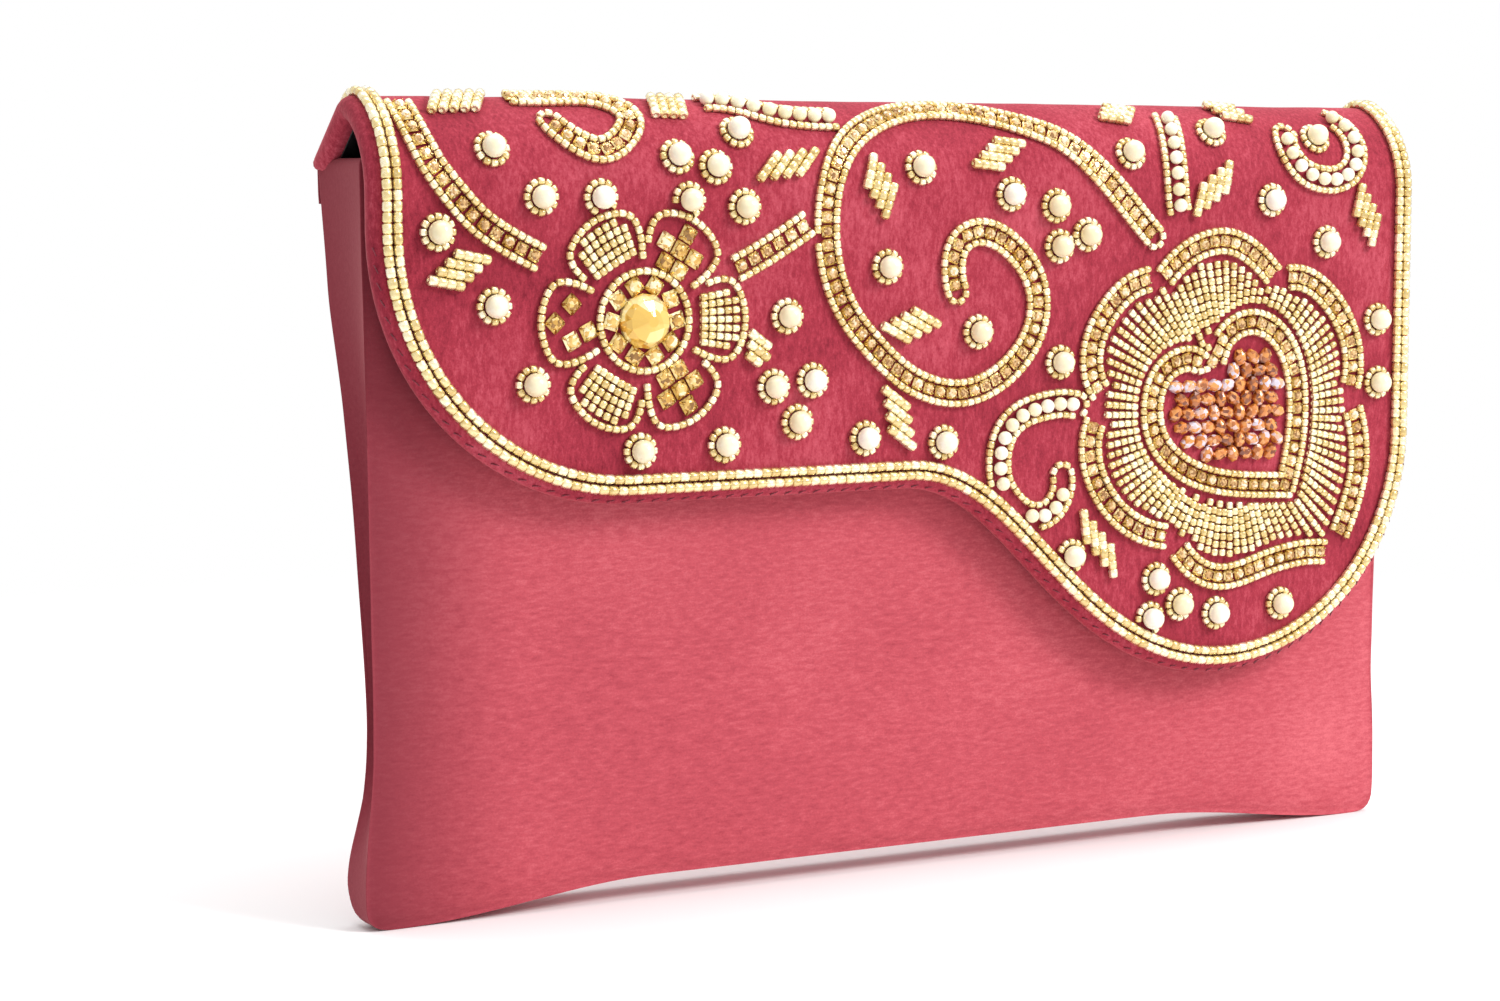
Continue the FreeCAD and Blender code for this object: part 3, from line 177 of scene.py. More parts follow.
def velvetMaterial(name, settings):
    # cotton velvet, woven and cut: short pile lies over in patches, so it goes from wine to rose
    material, tree, shader, coords = startMaterial(name)
    turned = addNode(tree, "ShaderNodeMapping", [("Vector", coords)])
    turned.inputs["Scale"].default_value = settings["brush"]
    turned.inputs["Rotation"].default_value = (0, math.radians(settings["lean"]), 0)
    streaks = addNode(tree, "ShaderNodeTexNoise", [("Vector", turned.outputs[0])],
                      in_Scale=1 / (settings["streakSize"] * mm), in_Detail=4.0, in_Roughness=0.65)
    patches = addNode(tree, "ShaderNodeTexNoise", [("Vector", coords)],
                      in_Scale=1 / (settings["patchSize"] * mm), in_Detail=2.0)
    pile = addNode(tree, "ShaderNodeTexNoise", [("Vector", coords)],
                   in_Scale=1 / (settings["pileSize"] * mm), in_Detail=2.0, in_Roughness=0.7)
    mixed = addNode(tree, "ShaderNodeMix",
                    [("A", streaks.outputs["Fac"]), ("B", patches.outputs["Fac"])],
                    data_type="FLOAT", in_Factor=settings["patchShare"])
    fine = addNode(tree, "ShaderNodeMix", [("A", mixed.outputs["Result"]), ("B", pile.outputs["Fac"])],
                   data_type="FLOAT", in_Factor=0.22)
    colour = ramp(tree, fine.outputs["Result"],
                  [(0.34, settings["deep"]), (0.5, settings["body"]), (0.66, settings["bright"])])
    if settings["paintedEndShade"]:
        # painted shade: the cloth is darkened by position where it turns in to the left end, standing in
        # for the shade there and the darker look of pile lying the other way
        apart = addNode(tree, "ShaderNodeSeparateXYZ", [("Vector", coords)])
        outAt = addNode(tree, "ShaderNodeMath", [(0, apart.outputs["X"])], operation="MULTIPLY")
        outAt.inputs[1].default_value = -1
        wander = addNode(tree, "ShaderNodeMath",
                         [(0, patches.outputs["Fac"]), (2, outAt.outputs[0])],
                         operation="MULTIPLY_ADD")
        wander.inputs[1].default_value = 16 * mm
        ends = addNode(tree, "ShaderNodeMapRange", [("Value", wander.outputs[0])],
                       interpolation_type="SMOOTHSTEP")
        ends.inputs["From Min"].default_value = 98 * mm
        ends.inputs["From Max"].default_value = 135 * mm
        ends.inputs["To Max"].default_value = 0.85
        blend = addNode(tree, "ShaderNodeMix", [("Factor", ends.outputs["Result"])], data_type="RGBA")
        # sockets 6, 7 and 2 are this node's two colours and its mixed colour
        tree.links.new(colour, blend.inputs[6])
        blend.inputs[7].default_value = hexColour(settings["paintedEndShade"])
        colour = blend.outputs[2]
    tree.links.new(colour, shader.inputs["Base Color"])
    rough = ramp(tree, mixed.outputs["Result"], [(0.3, 0.95), (0.7, 0.78)])
    tree.links.new(rough, shader.inputs["Roughness"])
    lift = addNode(tree, "ShaderNodeBump", [("Height", fine.outputs["Result"])],
                   in_Strength=settings["bump"], in_Distance=0.4 * mm)
    tree.links.new(lift.outputs["Normal"], shader.inputs["Normal"])
    shader.inputs["Sheen Weight"].default_value = settings["sheen"]
    shader.inputs["Sheen Roughness"].default_value = 0.45
    shader.inputs["Sheen Tint"].default_value = hexColour("#e89a9c")
    shader.inputs["Specular IOR Level"].default_value = 0.25
    return material


def beadMaterial(name, stops, metallic, roughness, coat, grain, facetGlintSize=0.0):
    # "tone" is one number for each bead, so that no two are quite alike
    material, tree, shader, coords = startMaterial(name)
    tone = addNode(tree, "ShaderNodeAttribute", attribute_name="tone").outputs["Fac"]
    if facetGlintSize:
        # faceted stones: Voronoi cells paint each facet lighter or darker, a painted reflection
        grainAndFacetGlint = addNode(tree, "ShaderNodeTexVoronoi", [("Vector", coords)], in_Scale=1 / (facetGlintSize * mm))
        grainAndGlintValue = addNode(tree, "ShaderNodeSeparateColor", [("Color", grainAndFacetGlint.outputs["Color"])]).outputs[0]
    else:
        grainAndFacetGlint = addNode(tree, "ShaderNodeTexNoise", [("Vector", coords)], in_Scale=1 / (grain * mm),
                        in_Detail=3.0)
        grainAndGlintValue = grainAndFacetGlint.outputs["Fac"]
    mixed = addNode(tree, "ShaderNodeMix", [("A", tone), ("B", grainAndGlintValue)], data_type="FLOAT", in_Factor=0.55)
    colour = ramp(tree, mixed.outputs["Result"], stops)
    tree.links.new(colour, shader.inputs["Base Color"])
    rough = ramp(tree, grainAndGlintValue, [(0.25, roughness * 0.7), (0.75, min(roughness * 1.5, 1.0))])
    tree.links.new(rough, shader.inputs["Roughness"])
    lift = addNode(tree, "ShaderNodeBump", [("Height", grainAndGlintValue)], in_Strength=0.12, in_Distance=0.05 * mm)
    tree.links.new(lift.outputs["Normal"], shader.inputs["Normal"])
    shader.inputs["Metallic"].default_value = metallic
    shader.inputs["Coat Weight"].default_value = coat
    shader.inputs["Coat Roughness"].default_value = 0.08
    return material


def plainMaterial(name, dark, light, size, metallic, roughness, bump):
    # a stuff of one colour, with a fine grain of the given size in millimetres
    material, tree, shader, coords = startMaterial(name)
    grain = addNode(tree, "ShaderNodeTexNoise", [("Vector", coords)], in_Scale=1 / (size * mm),
                    in_Detail=4.0)
    colour = ramp(tree, grain.outputs["Fac"], [(0.35, dark), (0.65, light)])
    tree.links.new(colour, shader.inputs["Base Color"])
    rough = ramp(tree, grain.outputs["Fac"], [(0.3, roughness * 0.75), (0.7, roughness * 1.25)])
    tree.links.new(rough, shader.inputs["Roughness"])
    lift = addNode(tree, "ShaderNodeBump", [("Height", grain.outputs["Fac"])], in_Strength=bump,
                   in_Distance=0.2 * mm)
    tree.links.new(lift.outputs["Normal"], shader.inputs["Normal"])
    shader.inputs["Metallic"].default_value = metallic
    return material


# the pouch: short pile brushed across, soft rose in the middle, with painted shade darkening its left end
pouchVelvet = velvetMaterial("crimson_cotton_velvet", {
    "deep": "#a03b48", "body": "#b94c58", "bright": "#cf646e", "brush": (0.3, 1.0, 1.0), "lean": 3,
    "streakSize": 0.8, "patchSize": 70, "pileSize": 0.45, "patchShare": 0.45, "bump": 0.3, "sheen": 0.3,
    # the last colour is painted shade, laid on the left end by position
    "paintedEndShade": "#7a2a36",
})
# the flap: deeper wine, brushed down the front, so the gold stands out
flapVelvet = velvetMaterial("wine_plush_velvet", {
    "deep": "#7a1a2c", "body": "#a02e40", "bright": "#c05060", "brush": (1.0, 1.0, 0.4), "lean": -18,
    "streakSize": 0.8, "patchSize": 24, "pileSize": 0.45, "patchShare": 0.45, "bump": 0.5, "sheen": 0.42,
    "paintedEndShade": "",
})
# satin lining: near black, so the inside reads as depth
satinDark = plainMaterial("black_acetate_satin", "#0a0708", "#171113", 0.5, 0.0, 0.5, 0.15)
# gold-lined glass seed beads: bright metal colour, small hot highlights
goldBead = beadMaterial("gold_lined_glass_bead", [(0.2, "#cfae68"), (0.5, "#f0dca2"), (0.75, "#fff6da")],
                        0.7, 0.22, 0.6, 0.7)
# stamped brass cups with claws, gold plated
clawGold = beadMaterial("gold_plated_brass_cup", [(0.25, "#b8924a"), (0.5, "#e2c684"), (0.75, "#faedc0")],
                        1.0, 0.28, 0.0, 0.6)
# moulded pearls under a cream nacre lacquer
creamPearl = beadMaterial("cream_lacquered_pearl", [(0.25, "#f4e6bc"), (0.5, "#fbf1d2"), (0.75, "#fffbee")],
                          0.0, 0.22, 0.6, 2.0)
# foiled champagne and topaz glass, faceted; besides the cut facets, cells painted lighter or darker than
# the next are painted reflection off the facets
champagneGlass = beadMaterial("foiled_champagne_glass",
                              [(0.2, "#9a6a34"), (0.4, "#d8a868"), (0.6, "#f0cc94"), (0.8, "#fff2d8")],
                              0.35, 0.1, 1.0, 0.8, 0.55)
topazGlass = beadMaterial("foiled_topaz_glass",
                          [(0.2, "#8e6020"), (0.4, "#d8a444"), (0.6, "#f2cc74"), (0.8, "#fff4cc")],
                          0.35, 0.08, 1.0, 0.8, 0.8)
# the big middle stone has wider facets, and wider cells of painted reflection
bigTopaz = beadMaterial("foiled_topaz_centre_glass",
                        [(0.2, "#9a661e"), (0.4, "#d89c34"), (0.6, "#f2c860"), (0.8, "#fff0b4")],
                        0.35, 0.06, 1.0, 0.8, 3.2)
# cut crystals, from brown amber to orange, with cells of painted facet reflection and a painted lilac glint
amberCrystal = beadMaterial("amber_cut_crystal",
                            [(0.2, "#7c3a18"), (0.4, "#d07a30"), (0.62, "#eaa050"), (0.8, "#dcd4e4")],
                            0.15, 0.07, 1.0, 0.8, 0.9)
# the snap: brass that shines, a dull grey magnet and plated washers
snapBrass = plainMaterial("polished_brass_snap", "#b08d4a", "#d8bd7c", 0.8, 1.0, 0.22, 0.05)
magnetGrey = plainMaterial("sintered_ferrite_magnet", "#2a2a2c", "#3c3c3f", 0.4, 0.3, 0.5, 0.1)
washerSteel = plainMaterial("zinc_plated_steel", "#9a9b9c", "#c4c5c6", 0.9, 1.0, 0.3, 0.05)
# sewing thread, darker than the velvet it holds
stitchThread = plainMaterial("wine_polyester_thread", "#5a1422", "#8e2a3e", 0.3, 0.0, 0.6, 0.3)
print("materials ready")

# the pouch: a padded velvet bag, pinched at its ends, with full lower corners
pouch = {
    "cuts": 44,          # cuts on each side of the block it is shaped from
    "arch": 5.0,         # rise of the base between the corners
    "cornerReach": 58.0, # how far in from the end the base has risen
    "wall": 3.0,         # velvet, foam and board together
    "swell": 1.3,        # how far the foam swells the walls
    "endRun": 46.0,      # from the end inwards, where the pinch fades
    "rim": 1.6,          # round of the edges
    "liningIn": 4.0,     # the lining's ends stand this far inside the gussets
    "thinWall": 0.4, "thinLining": 0.46,   # share of the depth a wall takes where the pouch is thin
    "puckerSize": 24, "pucker": 0.55, "crinkleSize": 7, "crinkle": 0.16,
}
# depth of the pouch at its very end against height, from the full lower corner to the mouth
endHeights = [0, 4, 8, 14, 26, 41, 58, 85, 105, 124, 152]
endDepths = [6.5, 9.0, 10.5, 9.6, 4.6, 3.4, 5.2, 9.0, 13.2, 19.0, 23.0]


def pouchPoint(a, b, c, inset):
    # a, b and c run from -1 to 1 across the width, from front to back and from base to mouth
    side = np.sign(a)
    reach = 0.55 * np.abs(a) + 0.45 * np.sin(np.abs(a) * math.pi / 2)
    rise = 0.5 + 0.5 * (0.75 * c + 0.25 * np.sin(c * math.pi / 2))
    z = mouthHeight * rise
    fromEnd = halfWidth * (1 - reach)
    frontY = frontFoot - frontLean * rise
    depthMiddle = backFoot - frontFoot + (backLean + frontLean) * rise
    depthEnd = np.interp(z, endHeights, endDepths)
    fullness = smoothStep(fromEnd / pouch["endRun"])
    depth = depthEnd + (depthMiddle - depthEnd) * fullness
    # the foam swells the walls between the seams
    across = np.clip(1 - reach ** 6, 0, 1)
    upright = np.clip(1 - np.abs(2 * rise - 1) ** 5, 0, 1)
    swell = pouch["swell"] * across * upright
    # the inner skins stay apart where the pouch is thin
    most = (pouch["thinWall"] if inset == 1 else pouch["thinLining"]) * depth
    wall = np.minimum(pouch["wall"] + inset - 1, most) if inset else np.zeros_like(a)
    endWall = wall + (pouch["liningIn"] if inset > 1 else 0)
    front = frontY - swell * 0.55 + wall
    back = frontY + depth + swell * 0.35 - wall
    frontShare = (b + 1) / 2
    y = front + (back - front) * frontShare
    # the gusset folds inwards between the two walls
    endFace = np.abs(a) > 0.9999
    fold = np.interp(z, [0, 14, 40, 90, 130, 152], [0, 0.4, 3.2, 3.5, 1.4, 0.6])
    foldIn = np.where(endFace, fold * (1 - b * b), 0)
    x = side * (halfWidth * reach - foldIn * reach - endWall * reach)
    # round seams: each edge of the block is brought in along the diagonal
    corner = 0.45 * np.minimum(pouch["rim"], 0.3 * depth)
    edge = endFace & (np.abs(b) > 0.9999)
    x = np.where(edge, x - side * corner, x)
    y = np.where(edge, y - np.sign(b) * corner, y)
    # seen from the front the sides draw in above each full lower corner
    waist = np.interp(z, [0, 3, 9, 18, 34, 60, 152], [1.2, 0.3, 0.0, 0.5, 1.6, 1.2, 0.0])
    x = x - side * waist * smoothStep((reach - 0.7) / 0.3)
    # the base is arched between the corners
    lift = pouch["arch"] * smoothStep((fromEnd - 6) / pouch["cornerReach"])
    z = z + lift * np.clip(1 - rise / 0.35, 0, 1) ** 1.5
    underside = c < -0.9999
    z = np.where(underside, z + inset, z)
    baseEdge = underside & ((np.abs(b) > 0.9999) | endFace)
    z = np.where(baseEdge, z + 0.6, z)
    y = np.where(underside & (np.abs(b) > 0.9999), y - np.sign(b) * 0.9, y)
    x = np.where(underside & endFace, x - side * 1.0, x)
    return np.stack([x, y, z], axis=1)


def pouchBlock(name, inset, topGap):
    # a cube cut into a grid, open on top, and moved to the pouch's shape
    clearSelection()
    bpy.ops.mesh.primitive_cube_add(size=2)
    block = bpy.context.object
    block.name = block.data.name = name
    bpy.ops.object.mode_set(mode="EDIT")
    bpy.ops.mesh.subdivide(number_cuts=pouch["cuts"])
    mesh = bmesh.from_edit_mesh(block.data)
    bpy.ops.mesh.select_all(action="DESELECT")
    for face in mesh.faces:
        if face.calc_center_median().z > 0.9999:
            face.select = True
    bmesh.update_edit_mesh(block.data)
    bpy.ops.mesh.delete(type="FACE")
    bpy.ops.object.mode_set(mode="OBJECT")
    flat = getPoints(block)
    points = pouchPoint(flat[:, 0], flat[:, 1], flat[:, 2], inset)
    points[:, 2] = np.minimum(points[:, 2], mouthHeight - topGap)
    creases = softSwell(points * np.array([1, 0.6, 1.4]), pouch["puckerSize"], pouch["pucker"], 1)
    creases += softSwell(points * np.array([1, 0.5, 0.6]), pouch["crinkleSize"], pouch["crinkle"], 2)
    # stronger near the lower corners, and fading out towards the mouth
    lower = np.clip(1 - points[:, 2] / 70, 0, 1) * smoothStep((np.abs(points[:, 0]) - 70) / 50)
    outward = np.sign(points[:, 1] - (frontFoot + 6))
    fade = np.clip((mouthHeight - points[:, 2]) / 12, 0, 1)
    points[:, 1] += outward * creases * (0.5 + 1.3 * lower) * fade
    points[:, 2] = np.maximum(points[:, 2], 0.05)
    setPoints(block, points * mm)
    return block


velvetPouch = pouchBlock("velvet_pouch", 0, 0.0)
innerSkin = pouchBlock("inner_skin", 1, 0.0)
fixNormals(velvetPouch)
flipFaces(innerSkin)
makeActive(velvetPouch)
innerSkin.select_set(True)
bpy.ops.object.join()
bpy.ops.object.mode_set(mode="EDIT")
bpy.ops.mesh.select_all(action="DESELECT")
bpy.ops.mesh.select_mode(type="EDGE")
bpy.ops.mesh.select_non_manifold(extend=False, use_wire=False, use_boundary=True,
                                 use_multi_face=False, use_non_contiguous=False, use_verts=False)
bpy.ops.mesh.bridge_edge_loops()
bpy.ops.mesh.select_mode(type="FACE")
bpy.ops.object.mode_set(mode="OBJECT")
fixNormals(velvetPouch)
soften = velvetPouch.modifiers.new("soften", "SUBSURF")
soften.levels = soften.render_levels = 1
bpy.ops.object.modifier_apply(modifier="soften")
bpy.ops.object.shade_smooth()
velvetPouch.data.materials.clear()
velvetPouch.data.materials.append(pouchVelvet)
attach(velvetPouch, "pouch")
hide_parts("front_cover", "back_cover", "base_cover", "left_gusset", "right_gusset",
            "front_padding", "back_padding", "front_board", "back_board", "base_board")
print("pouch shaped")

# the satin bag inside it, a little in from the walls
satinBag = pouchBlock("satin_lining", 1.5, 3.0)
fixNormals(satinBag, inward=True)
thickenSheet(satinBag, 0.3, -1)
bpy.ops.object.shade_smooth()
satinBag.data.materials.append(satinDark)
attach(satinBag, "pouch")
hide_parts("front_lining", "back_lining", "base_lining", "left_gusset_lining",
            "right_gusset_lining")
print("lining sewn in")

# the flap's section: a fold over the mouth, a shoulder and a hanging front, at the CAD's sizes
flap = {
    "thick": 5.05, "crownRadius": 6.5, "crownBack": 16.5, "shoulderRadius": 20.0,
    "leftDrop": 69.0, "rightDrop": 114.0, "leftRound": 55.0, "rightRound": 53.0, "sweepRun": 69.0,
    "lobeStart": 255.0,   # degrees, where the sweep runs into the right lobe
    "beadPlane": 1.0,     # the unrolled flap is measured this far above its velvet
    "edgeRound": 2.5,
}
flapHalf = coverHigh.x
backY = coverHigh.y
flapY = coverLow.y
crownY, crownZ = backY - flap["crownBack"], coverHigh.z - flap["crownRadius"]
shoulderY = flapY + flap["shoulderRadius"]
centreGap = flap["shoulderRadius"] - flap["crownRadius"]
shoulderZ = crownZ - math.sqrt(centreGap ** 2 - (shoulderY - crownY) ** 2)
foldGap = 0.3
rootY, rootZ = backY, mouthHeight + foldGap
joinAngle = math.atan2(crownZ - shoulderZ, crownY - shoulderY)
rootToCrown = math.hypot(crownY - rootY, crownZ - rootZ)
backAngle = (math.atan2(crownZ - rootZ, crownY - rootY)
             - math.asin(flap["crownRadius"] / rootToCrown) - math.pi / 2)
crownRun = (flap["crownRadius"] + flap["beadPlane"]) * (joinAngle - math.pi / 2)
shoulderRun = (flap["shoulderRadius"] + flap["beadPlane"]) * (math.pi - joinAngle)
backRun = (flap["crownRadius"] + flap["beadPlane"]) * (math.pi / 2 - backAngle)
rootRun = backRun + math.sqrt(rootToCrown ** 2 - flap["crownRadius"] ** 2)


def flapPoints(u, v, lift):
    # over (u, v) on the unrolled flap, at a height above its velvet
    crownAngle = math.pi / 2 + v / (flap["crownRadius"] + flap["beadPlane"])
    shoulderAngle = joinAngle + (v - crownRun) / (flap["shoulderRadius"] + flap["beadPlane"])
    onBack = v < -backRun
    onCrown = v <= crownRun
    onShoulder = v <= crownRun + shoulderRun
    angle = np.where(onBack, backAngle,
                     np.where(onCrown, crownAngle, np.where(onShoulder, shoulderAngle, math.pi)))
    radius = np.where(onCrown, flap["crownRadius"], flap["shoulderRadius"]) + lift
    centreY = np.where(onCrown, crownY, shoulderY)
    centreZ = np.where(onCrown, crownZ, shoulderZ)
    y = centreY + radius * np.cos(angle)
    z = centreZ + radius * np.sin(angle)
    past = np.where(onBack, -backRun - v, 0)
    y = y + past * np.sin(angle)
    z = z - past * np.cos(angle)
    straight = np.where(onShoulder, 0, v - crownRun - shoulderRun)
    return np.stack([u, y, z - straight], axis=1)


def outwardAt(points):
    # direction away from the velvet at points near the flap
    y, z = points[:, 1], points[:, 2]
    angle = np.arctan2(z - shoulderZ, y - shoulderY)
    crownSide = np.arctan2(z - crownZ, y - crownY)
    angle = np.where(angle < joinAngle, np.clip(crownSide, backAngle, joinAngle), angle)
    angle = np.where((z < shoulderZ) & (y < shoulderY), math.pi, angle)
    return np.stack([np.zeros(len(points)), np.cos(angle), np.sin(angle)], axis=1)


def heightToRun(z):
    return crownRun + shoulderRun + shoulderZ - z


def flapOutline(spread):
    # the lower edge from the left side round to the right side, as (u, v)
    left = (-flapHalf + flap["leftRound"], mouthHeight - flap["leftDrop"] + flap["leftRound"])
    right = (flapHalf - flap["rightRound"], mouthHeight - flap["rightDrop"] + flap["rightRound"])
    level = mouthHeight - flap["leftDrop"]
    # closer points where each arc leaves the straight side
    early = [0, 0.07, 0.13, 0.19, 0.25, 0.31]
    settled = 0.37
    turns = early + list(np.linspace(settled, math.pi / 2, spread))
    line = [(left[0] - flap["leftRound"] * math.cos(t), left[1] - flap["leftRound"] * math.sin(t))
            for t in turns]
    start = math.radians(flap["lobeStart"])
    lobe = (right[0] + flap["rightRound"] * math.cos(start),
            right[1] + flap["rightRound"] * math.sin(start))
    sweep = (lobe[0] - flap["sweepRun"], level)
    hold = (sweep[0] + 0.35 * flap["sweepRun"], level)
    lead = (lobe[0] + 0.5 * flap["sweepRun"] * math.sin(start),
            lobe[1] - 0.5 * flap["sweepRun"] * math.cos(start))
    line += [(u, level) for u in np.linspace(left[0], sweep[0], spread)[1:]]
    for t in np.linspace(0, 1, spread + 6)[1:]:
        weights = ((1 - t) ** 3, 3 * t * (1 - t) ** 2, 3 * t * t * (1 - t), t ** 3)
        line.append(tuple(sum(w * p[k] for w, p in zip(weights, (sweep, hold, lead, lobe)))
                          for k in range(2)))
    turns = list(np.linspace(start, 2 * math.pi - settled, spread)[1:])
    turns += [2 * math.pi - t for t in early[::-1]]
    line += [(right[0] + flap["rightRound"] * math.cos(t), right[1] + flap["rightRound"] * math.sin(t))
             for t in turns]
    return np.array([(u, heightToRun(z)) for u, z in line])


lowerEdge = flapOutline(30)
rootLeft, rootRight = (-flapHalf, -rootRun), (flapHalf, -rootRun)
rim = np.vstack([[rootLeft], lowerEdge, [rootRight], [rootLeft]])


def toRim(u, v):
    # distance from each place to the nearest edge of the flap
    places = np.stack([u, v], axis=1)[:, None, :]
    starts, ends = rim[:-1][None], rim[1:][None]
    run = ends - starts
    share = np.clip(((places - starts) * run).sum(2) / np.maximum((run * run).sum(2), 1e-9), 0, 1)
    nearest = starts + run * share[..., None]
    return np.sqrt(((places - nearest) ** 2).sum(2)).min(1)


def flapGrid(name, rows):
    # a grid with one column for each point of the lower edge, and close rows near both ends
    line = lowerEdge
    clearSelection()
    bpy.ops.mesh.primitive_grid_add(x_subdivisions=len(line) - 1, y_subdivisions=rows - 1,
                                    size=2)
    grid = bpy.context.object
    grid.name = grid.data.name = name
    flat = getPoints(grid)
    column = np.rint((flat[:, 0] + 1) / 2 * (len(line) - 1)).astype(int)
    row = np.rint((flat[:, 1] + 1) / 2 * (rows - 1)).astype(int)
    near = np.array([0, 0.25, 0.8, 1.6, 2.5, 3.6])
    last = len(near) - 1
    length = line[column, 1] + rootRun
    even = near[-1] + (length - 2 * near[-1]) * (row - last) / (rows - 1 - 2 * last)
    fromEdge = np.where(row <= last, near[np.minimum(row, last)], even)
    late = rows - 1 - row
    fromEdge = np.where(late <= last, length - near[np.minimum(late, last)], fromEdge)
    return grid, line[column, 0], line[column, 1] - fromEdge


padRows = 96
padSwell = {"size": 13, "height": 0.16, "fadeFromEdge": 6}
padTop, u, v = flapGrid("velvet_flap", padRows)
distance = toRim(u, v)
radius = flap["edgeRound"]
inRound = np.clip(radius - distance, 0, radius)
drop = radius - np.sqrt(np.maximum(radius ** 2 - inRound ** 2, 0))
soft = softSwell(np.stack([u, v, v * 0], axis=1), padSwell["size"], padSwell["height"], 3)
soft *= smoothStep(distance / padSwell["fadeFromEdge"])
setPoints(padTop, flapPoints(u, v, -drop + soft) * mm)
padUnder, u, v = flapGrid("flap_under", padRows)
setPoints(padUnder, flapPoints(u, v, -flap["thick"] + drop) * mm)
flipFaces(padUnder)
makeActive(padTop)
padUnder.select_set(True)
bpy.ops.object.join()
bpy.ops.object.mode_set(mode="EDIT")
bpy.ops.mesh.select_all(action="SELECT")
bpy.ops.mesh.remove_doubles(threshold=0.06 * mm)
bpy.ops.mesh.normals_make_consistent(inside=False)
bpy.ops.object.mode_set(mode="OBJECT")
bpy.ops.object.shade_smooth()
padTop.data.materials.clear()
padTop.data.materials.append(flapVelvet)
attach(padTop, "flap")
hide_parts("flap_cover", "flap_padding", "flap_board")
print("flap padded")

# small hand stitches round the edge, one every few millimetres
stitch = {"pitch": 3.4, "length": 1.7, "radius": 0.16, "inset": 0.75, "slant": 0.35, "clear": 0.1}
runs = np.concatenate([[0], np.cumsum(np.linalg.norm(np.diff(lowerEdge, axis=0), axis=1))])
marks = np.arange(4, runs[-1] - 4, stitch["pitch"])
edgeU, edgeV = np.interp(marks, runs, lowerEdge[:, 0]), np.interp(marks, runs, lowerEdge[:, 1])
nextU = np.interp(marks + 0.5, runs, lowerEdge[:, 0])
nextV = np.interp(marks + 0.5, runs, lowerEdge[:, 1])
along = np.stack([nextU - edgeU, nextV - edgeV], axis=1)
along /= np.linalg.norm(along, axis=1, keepdims=True)
inU, inV = edgeU + along[:, 1] * stitch["inset"], edgeV - along[:, 0] * stitch["inset"]
sink = flap["edgeRound"] - math.sqrt(flap["edgeRound"] ** 2
                                     - (flap["edgeRound"] - stitch["inset"]) ** 2)
clearSelection()
bpy.ops.mesh.primitive_cylinder_add(vertices=6, radius=1, depth=1)
thread = bpy.context.object
threadPoints = getPoints(thread)
threadFaces = [list(p.vertices) for p in thread.data.polygons]
bpy.data.objects.remove(thread)
half = threadPoints[None, :, 2] * stitch["length"]
across = half * stitch["slant"] + threadPoints[None, :, 0] * stitch["radius"]
threadU = inU[:, None] + along[:, 0, None] * half + along[:, 1, None] * across
threadV = inV[:, None] + along[:, 1, None] * half - along[:, 0, None] * across
height = threadPoints[None, :, 1] * stitch["radius"] - sink + stitch["clear"]
lift = np.broadcast_to(height, threadU.shape)
threadMesh = bpy.data.meshes.new("edge_stitches")
threadPlaces = flapPoints(threadU.ravel(), threadV.ravel(), lift.ravel()) * mm
placeFaces = [[i + k * len(threadPoints) for i in face]
              for k in range(len(marks)) for face in threadFaces]
threadMesh.from_pydata(threadPlaces.tolist(), [], placeFaces)
edgeStitches = bpy.data.objects.new("edge_stitches", threadMesh)
bpy.context.scene.collection.objects.link(edgeStitches)
fixNormals(edgeStitches)
edgeStitches.data.materials.append(stitchThread)
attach(edgeStitches, "flap")
print("edge stitched")

# the flap's lining, set in from the edge on its inner face
lining = {"rows": 60, "keepIn": 3.4, "raise": 0.6, "fromV": 20.0, "fromRoot": 1.5, "clear": 0.12}
liner, u, v = flapGrid("flap_lining_satin", lining["rows"])
scaleU = (flapHalf - lining["keepIn"]) / flapHalf
scaleV = 1 - lining["keepIn"] / (lowerEdge[:, 1].max() - lining["fromV"])
shorter = lining["fromV"] + (v - lining["fromV"]) * scaleV - lining["raise"]
v = np.where(v > lining["fromV"], shorter, v)
v = np.maximum(v, -rootRun + lining["fromRoot"])
under = np.full(len(u), -flap["thick"] - lining["clear"])
setPoints(liner, flapPoints(u * scaleU, v, under) * mm)
thickenSheet(liner, 0.25, 0)
fixNormals(liner)
bpy.ops.object.shade_smooth()
liner.data.materials.append(satinDark)
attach(liner, "flap")
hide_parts("flap_lining")
print("flap lined")

# velvet that runs on from the back over the fold
fold = {"below": 9.0, "above": 7.0, "proud": 0.25, "thick": 0.5, "rows": 26, "columns": 60,
        "fade": 2.0, "clear": 0.1, "endIn": 0.8, "halfBend": 5.0}
clearSelection()
bpy.ops.mesh.primitive_grid_add(x_subdivisions=fold["columns"], y_subdivisions=fold["rows"], size=2)
foldStrip = bpy.context.object
foldStrip.name = foldStrip.data.name = "fold_strip"
flat = getPoints(foldStrip)
along = (flat[:, 1] + 1) / 2 * (fold["below"] + fold["above"]) - fold["below"]
lean = backLean / mouthHeight
low = along < 0
upDirection = (-math.sin(backAngle), math.cos(backAngle))
y = np.where(low, backY + along * lean, backY + along * upDirection[0])
z = np.where(low, mouthHeight + along, mouthHeight + along * upDirection[1])
edgeFade = np.clip(np.minimum(along + fold["below"], fold["above"] - along) / fold["fade"], 0, 1)
y = y + fold["proud"] * edgeFade + fold["clear"]
x = flat[:, 0] * (halfWidth - fold["endIn"])
setPoints(foldStrip, np.stack([x, y, z], axis=1) * mm)
thickenSheet(foldStrip, fold["thick"], -1)
fixNormals(foldStrip)
bpy.ops.object.shade_smooth()
foldStrip.data.materials.append(pouchVelvet)
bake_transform(foldStrip)
print("fold covered")


